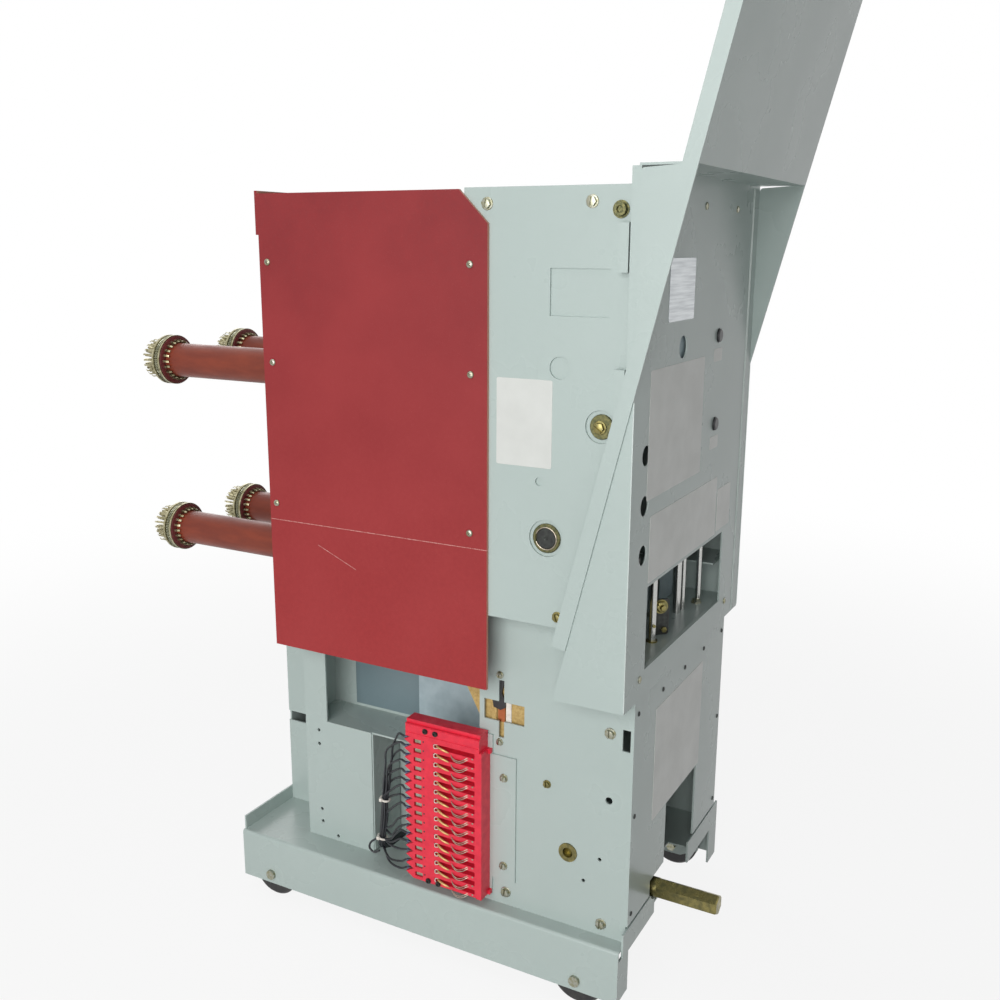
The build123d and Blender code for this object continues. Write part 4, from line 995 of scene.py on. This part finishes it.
class BREAKER_OT_stage(bpy.types.Operator):
    """Camera, floor, backdrop and soft studio light"""
    bl_idname = "breaker.stage"
    bl_label = "Stage"

    def execute(self, context):
        sizes = context.scene.breaker_stage
        scene = context.scene
        scene.view_settings.view_transform = "Standard"
        # The camera's own axes, from its heading, its dip and its roll
        turn, tip, roll = sizes.yaw, sizes.pitch, sizes.roll
        ahead = np.array([math.cos(turn) * math.cos(tip), math.sin(turn) * math.cos(tip), -math.sin(tip)])
        level = np.array([math.sin(turn), -math.cos(turn), 0.0])
        rise = np.cross(level, ahead)
        right = math.cos(roll) * level + math.sin(roll) * rise
        above = math.cos(roll) * rise - math.sin(roll) * level
        data = bpy.data.cameras.new("camera")
        data.sensor_width, data.lens = 36.0, sizes.lens
        scene.camera = put("camera", data, sizes.eye, right, above, -ahead)

        # Painted studio floor: matt and pale, fading into the plain backdrop, so that no line shows.
        tree, shader, place = fresh("floor_paint", ior=1.45, roughness=0.8)
        uneven = add(tree, "TexNoise", {"Vector": place, "Scale": per_metre(900), "Detail": 2.0})
        colour = add(tree, "Mix", {0: uneven, 6: linear("#C6C6C5"), 7: linear("#C0C0BF")}, data_type="RGBA")
        feed(tree, shader, base_color=colour)
        pale = add(tree, "Emission", {"Color": WHITE, "Strength": 1.0})
        away = add(tree, "VectorMath", {0: place}, operation="LENGTH").outputs["Value"]
        fade = add(tree, "MapRange", {"Value": away, "From Min": 0.9, "From Max": 3.2, "To Min": sizes.pale,
                                      "To Max": 1.0}, interpolation_type="SMOOTHSTEP")
        share = add(tree, "Math", {0: shown_rays(tree), 1: fade}, operation="MULTIPLY")
        both = add(tree, "MixShader", {0: share, 1: shader, 2: pale})
        tree.links.new(both.outputs[0], tree.nodes["Material Output"].inputs["Surface"])
        mesh = bpy.data.meshes.new("floor")
        corners = [(x * FLOOR_HALF, y * FLOOR_HALF, 0) for x, y in ((-1, -1), (1, -1), (1, 1), (-1, 1))]
        mesh.from_pydata(corners, [], [(0, 1, 2, 3)])
        mesh.materials.append(bpy.data.materials["floor_paint"])
        floor = bpy.data.objects.new("floor", mesh)
        scene.collection.objects.link(floor)

        world = bpy.data.worlds.new("studio")
        scene.world = world
        world.use_nodes = True
        tree = world.node_tree
        soft = tree.nodes["Background"]
        soft.inputs["Strength"].default_value = sizes.soft
        soft.inputs["Color"].default_value = linear("#F6F8FA")
        plain = add(tree, "Background", {"Color": WHITE, "Strength": 1.0})
        mixed = add(tree, "MixShader", {0: shown_rays(tree), 1: soft, 2: plain})
        tree.links.new(mixed.outputs[0], tree.nodes["World Output"].inputs["Surface"])

        middle = (0.0, 0.0, 0.6)
        for name, place, aim, size, power in (
                ("side_lamp", (-3.3, -0.5, 1.45), middle, 2.7, sizes.key),
                ("top_lamp", (-0.4, 0.3, 3.6), middle, 2.6, sizes.key * 0.25),
                ("rear_lamp", (1.6, 3.2, 1.6), middle, 2.7, sizes.key * 0.4),
                ("front_lamp", (-1.3, -2.5, 0.75), (0.0, -0.3, 0.6), 1.2, sizes.key * 0.03)):
            light = bpy.data.lights.new(name, "AREA")
            light.size, light.energy = size, power
            put(name, light, place, *axes(np.subtract(place, aim)))
        return {"FINISHED"}


# Panel and registration

OPERATORS = (BREAKER_OT_finishes, BREAKER_OT_stage, BREAKER_OT_fasteners, BREAKER_OT_plates,
             BREAKER_OT_contacts, BREAKER_OT_poles, BREAKER_OT_block, BREAKER_OT_wiring,
             BREAKER_OT_mechanism, BREAKER_OT_hems)
SETTINGS = {"breaker_finish": FinishSettings, "breaker_fasteners": FastenerSettings,
            "breaker_contacts": ContactSettings, "breaker_wiring": WiringSettings,
            "breaker_stage": StageSettings}


class BREAKER_PT_pieces(bpy.types.Panel):
    """Buttons for every group of pieces"""
    bl_label = "Vacuum breaker"
    bl_idname = "BREAKER_PT_pieces"
    bl_space_type = "VIEW_3D"
    bl_region_type = "UI"
    bl_category = "Breaker"

    def draw(self, context):
        for operator in OPERATORS:
            self.layout.operator(operator.bl_idname)


def register():
    for cls in (*SETTINGS.values(), *OPERATORS, BREAKER_PT_pieces):
        bpy.utils.register_class(cls)
    for name, group in SETTINGS.items():
        setattr(bpy.types.Scene, name, PointerProperty(type=group))


def unregister():
    for name in SETTINGS:
        delattr(bpy.types.Scene, name)
    for cls in (BREAKER_PT_pieces, *reversed(OPERATORS), *SETTINGS.values()):
        bpy.utils.unregister_class(cls)


def main():
    register()
    for operator in OPERATORS:
        group, name = operator.bl_idname.split(".")
        getattr(getattr(bpy.ops, group), name)()


if __name__ == "__main__":
    main()
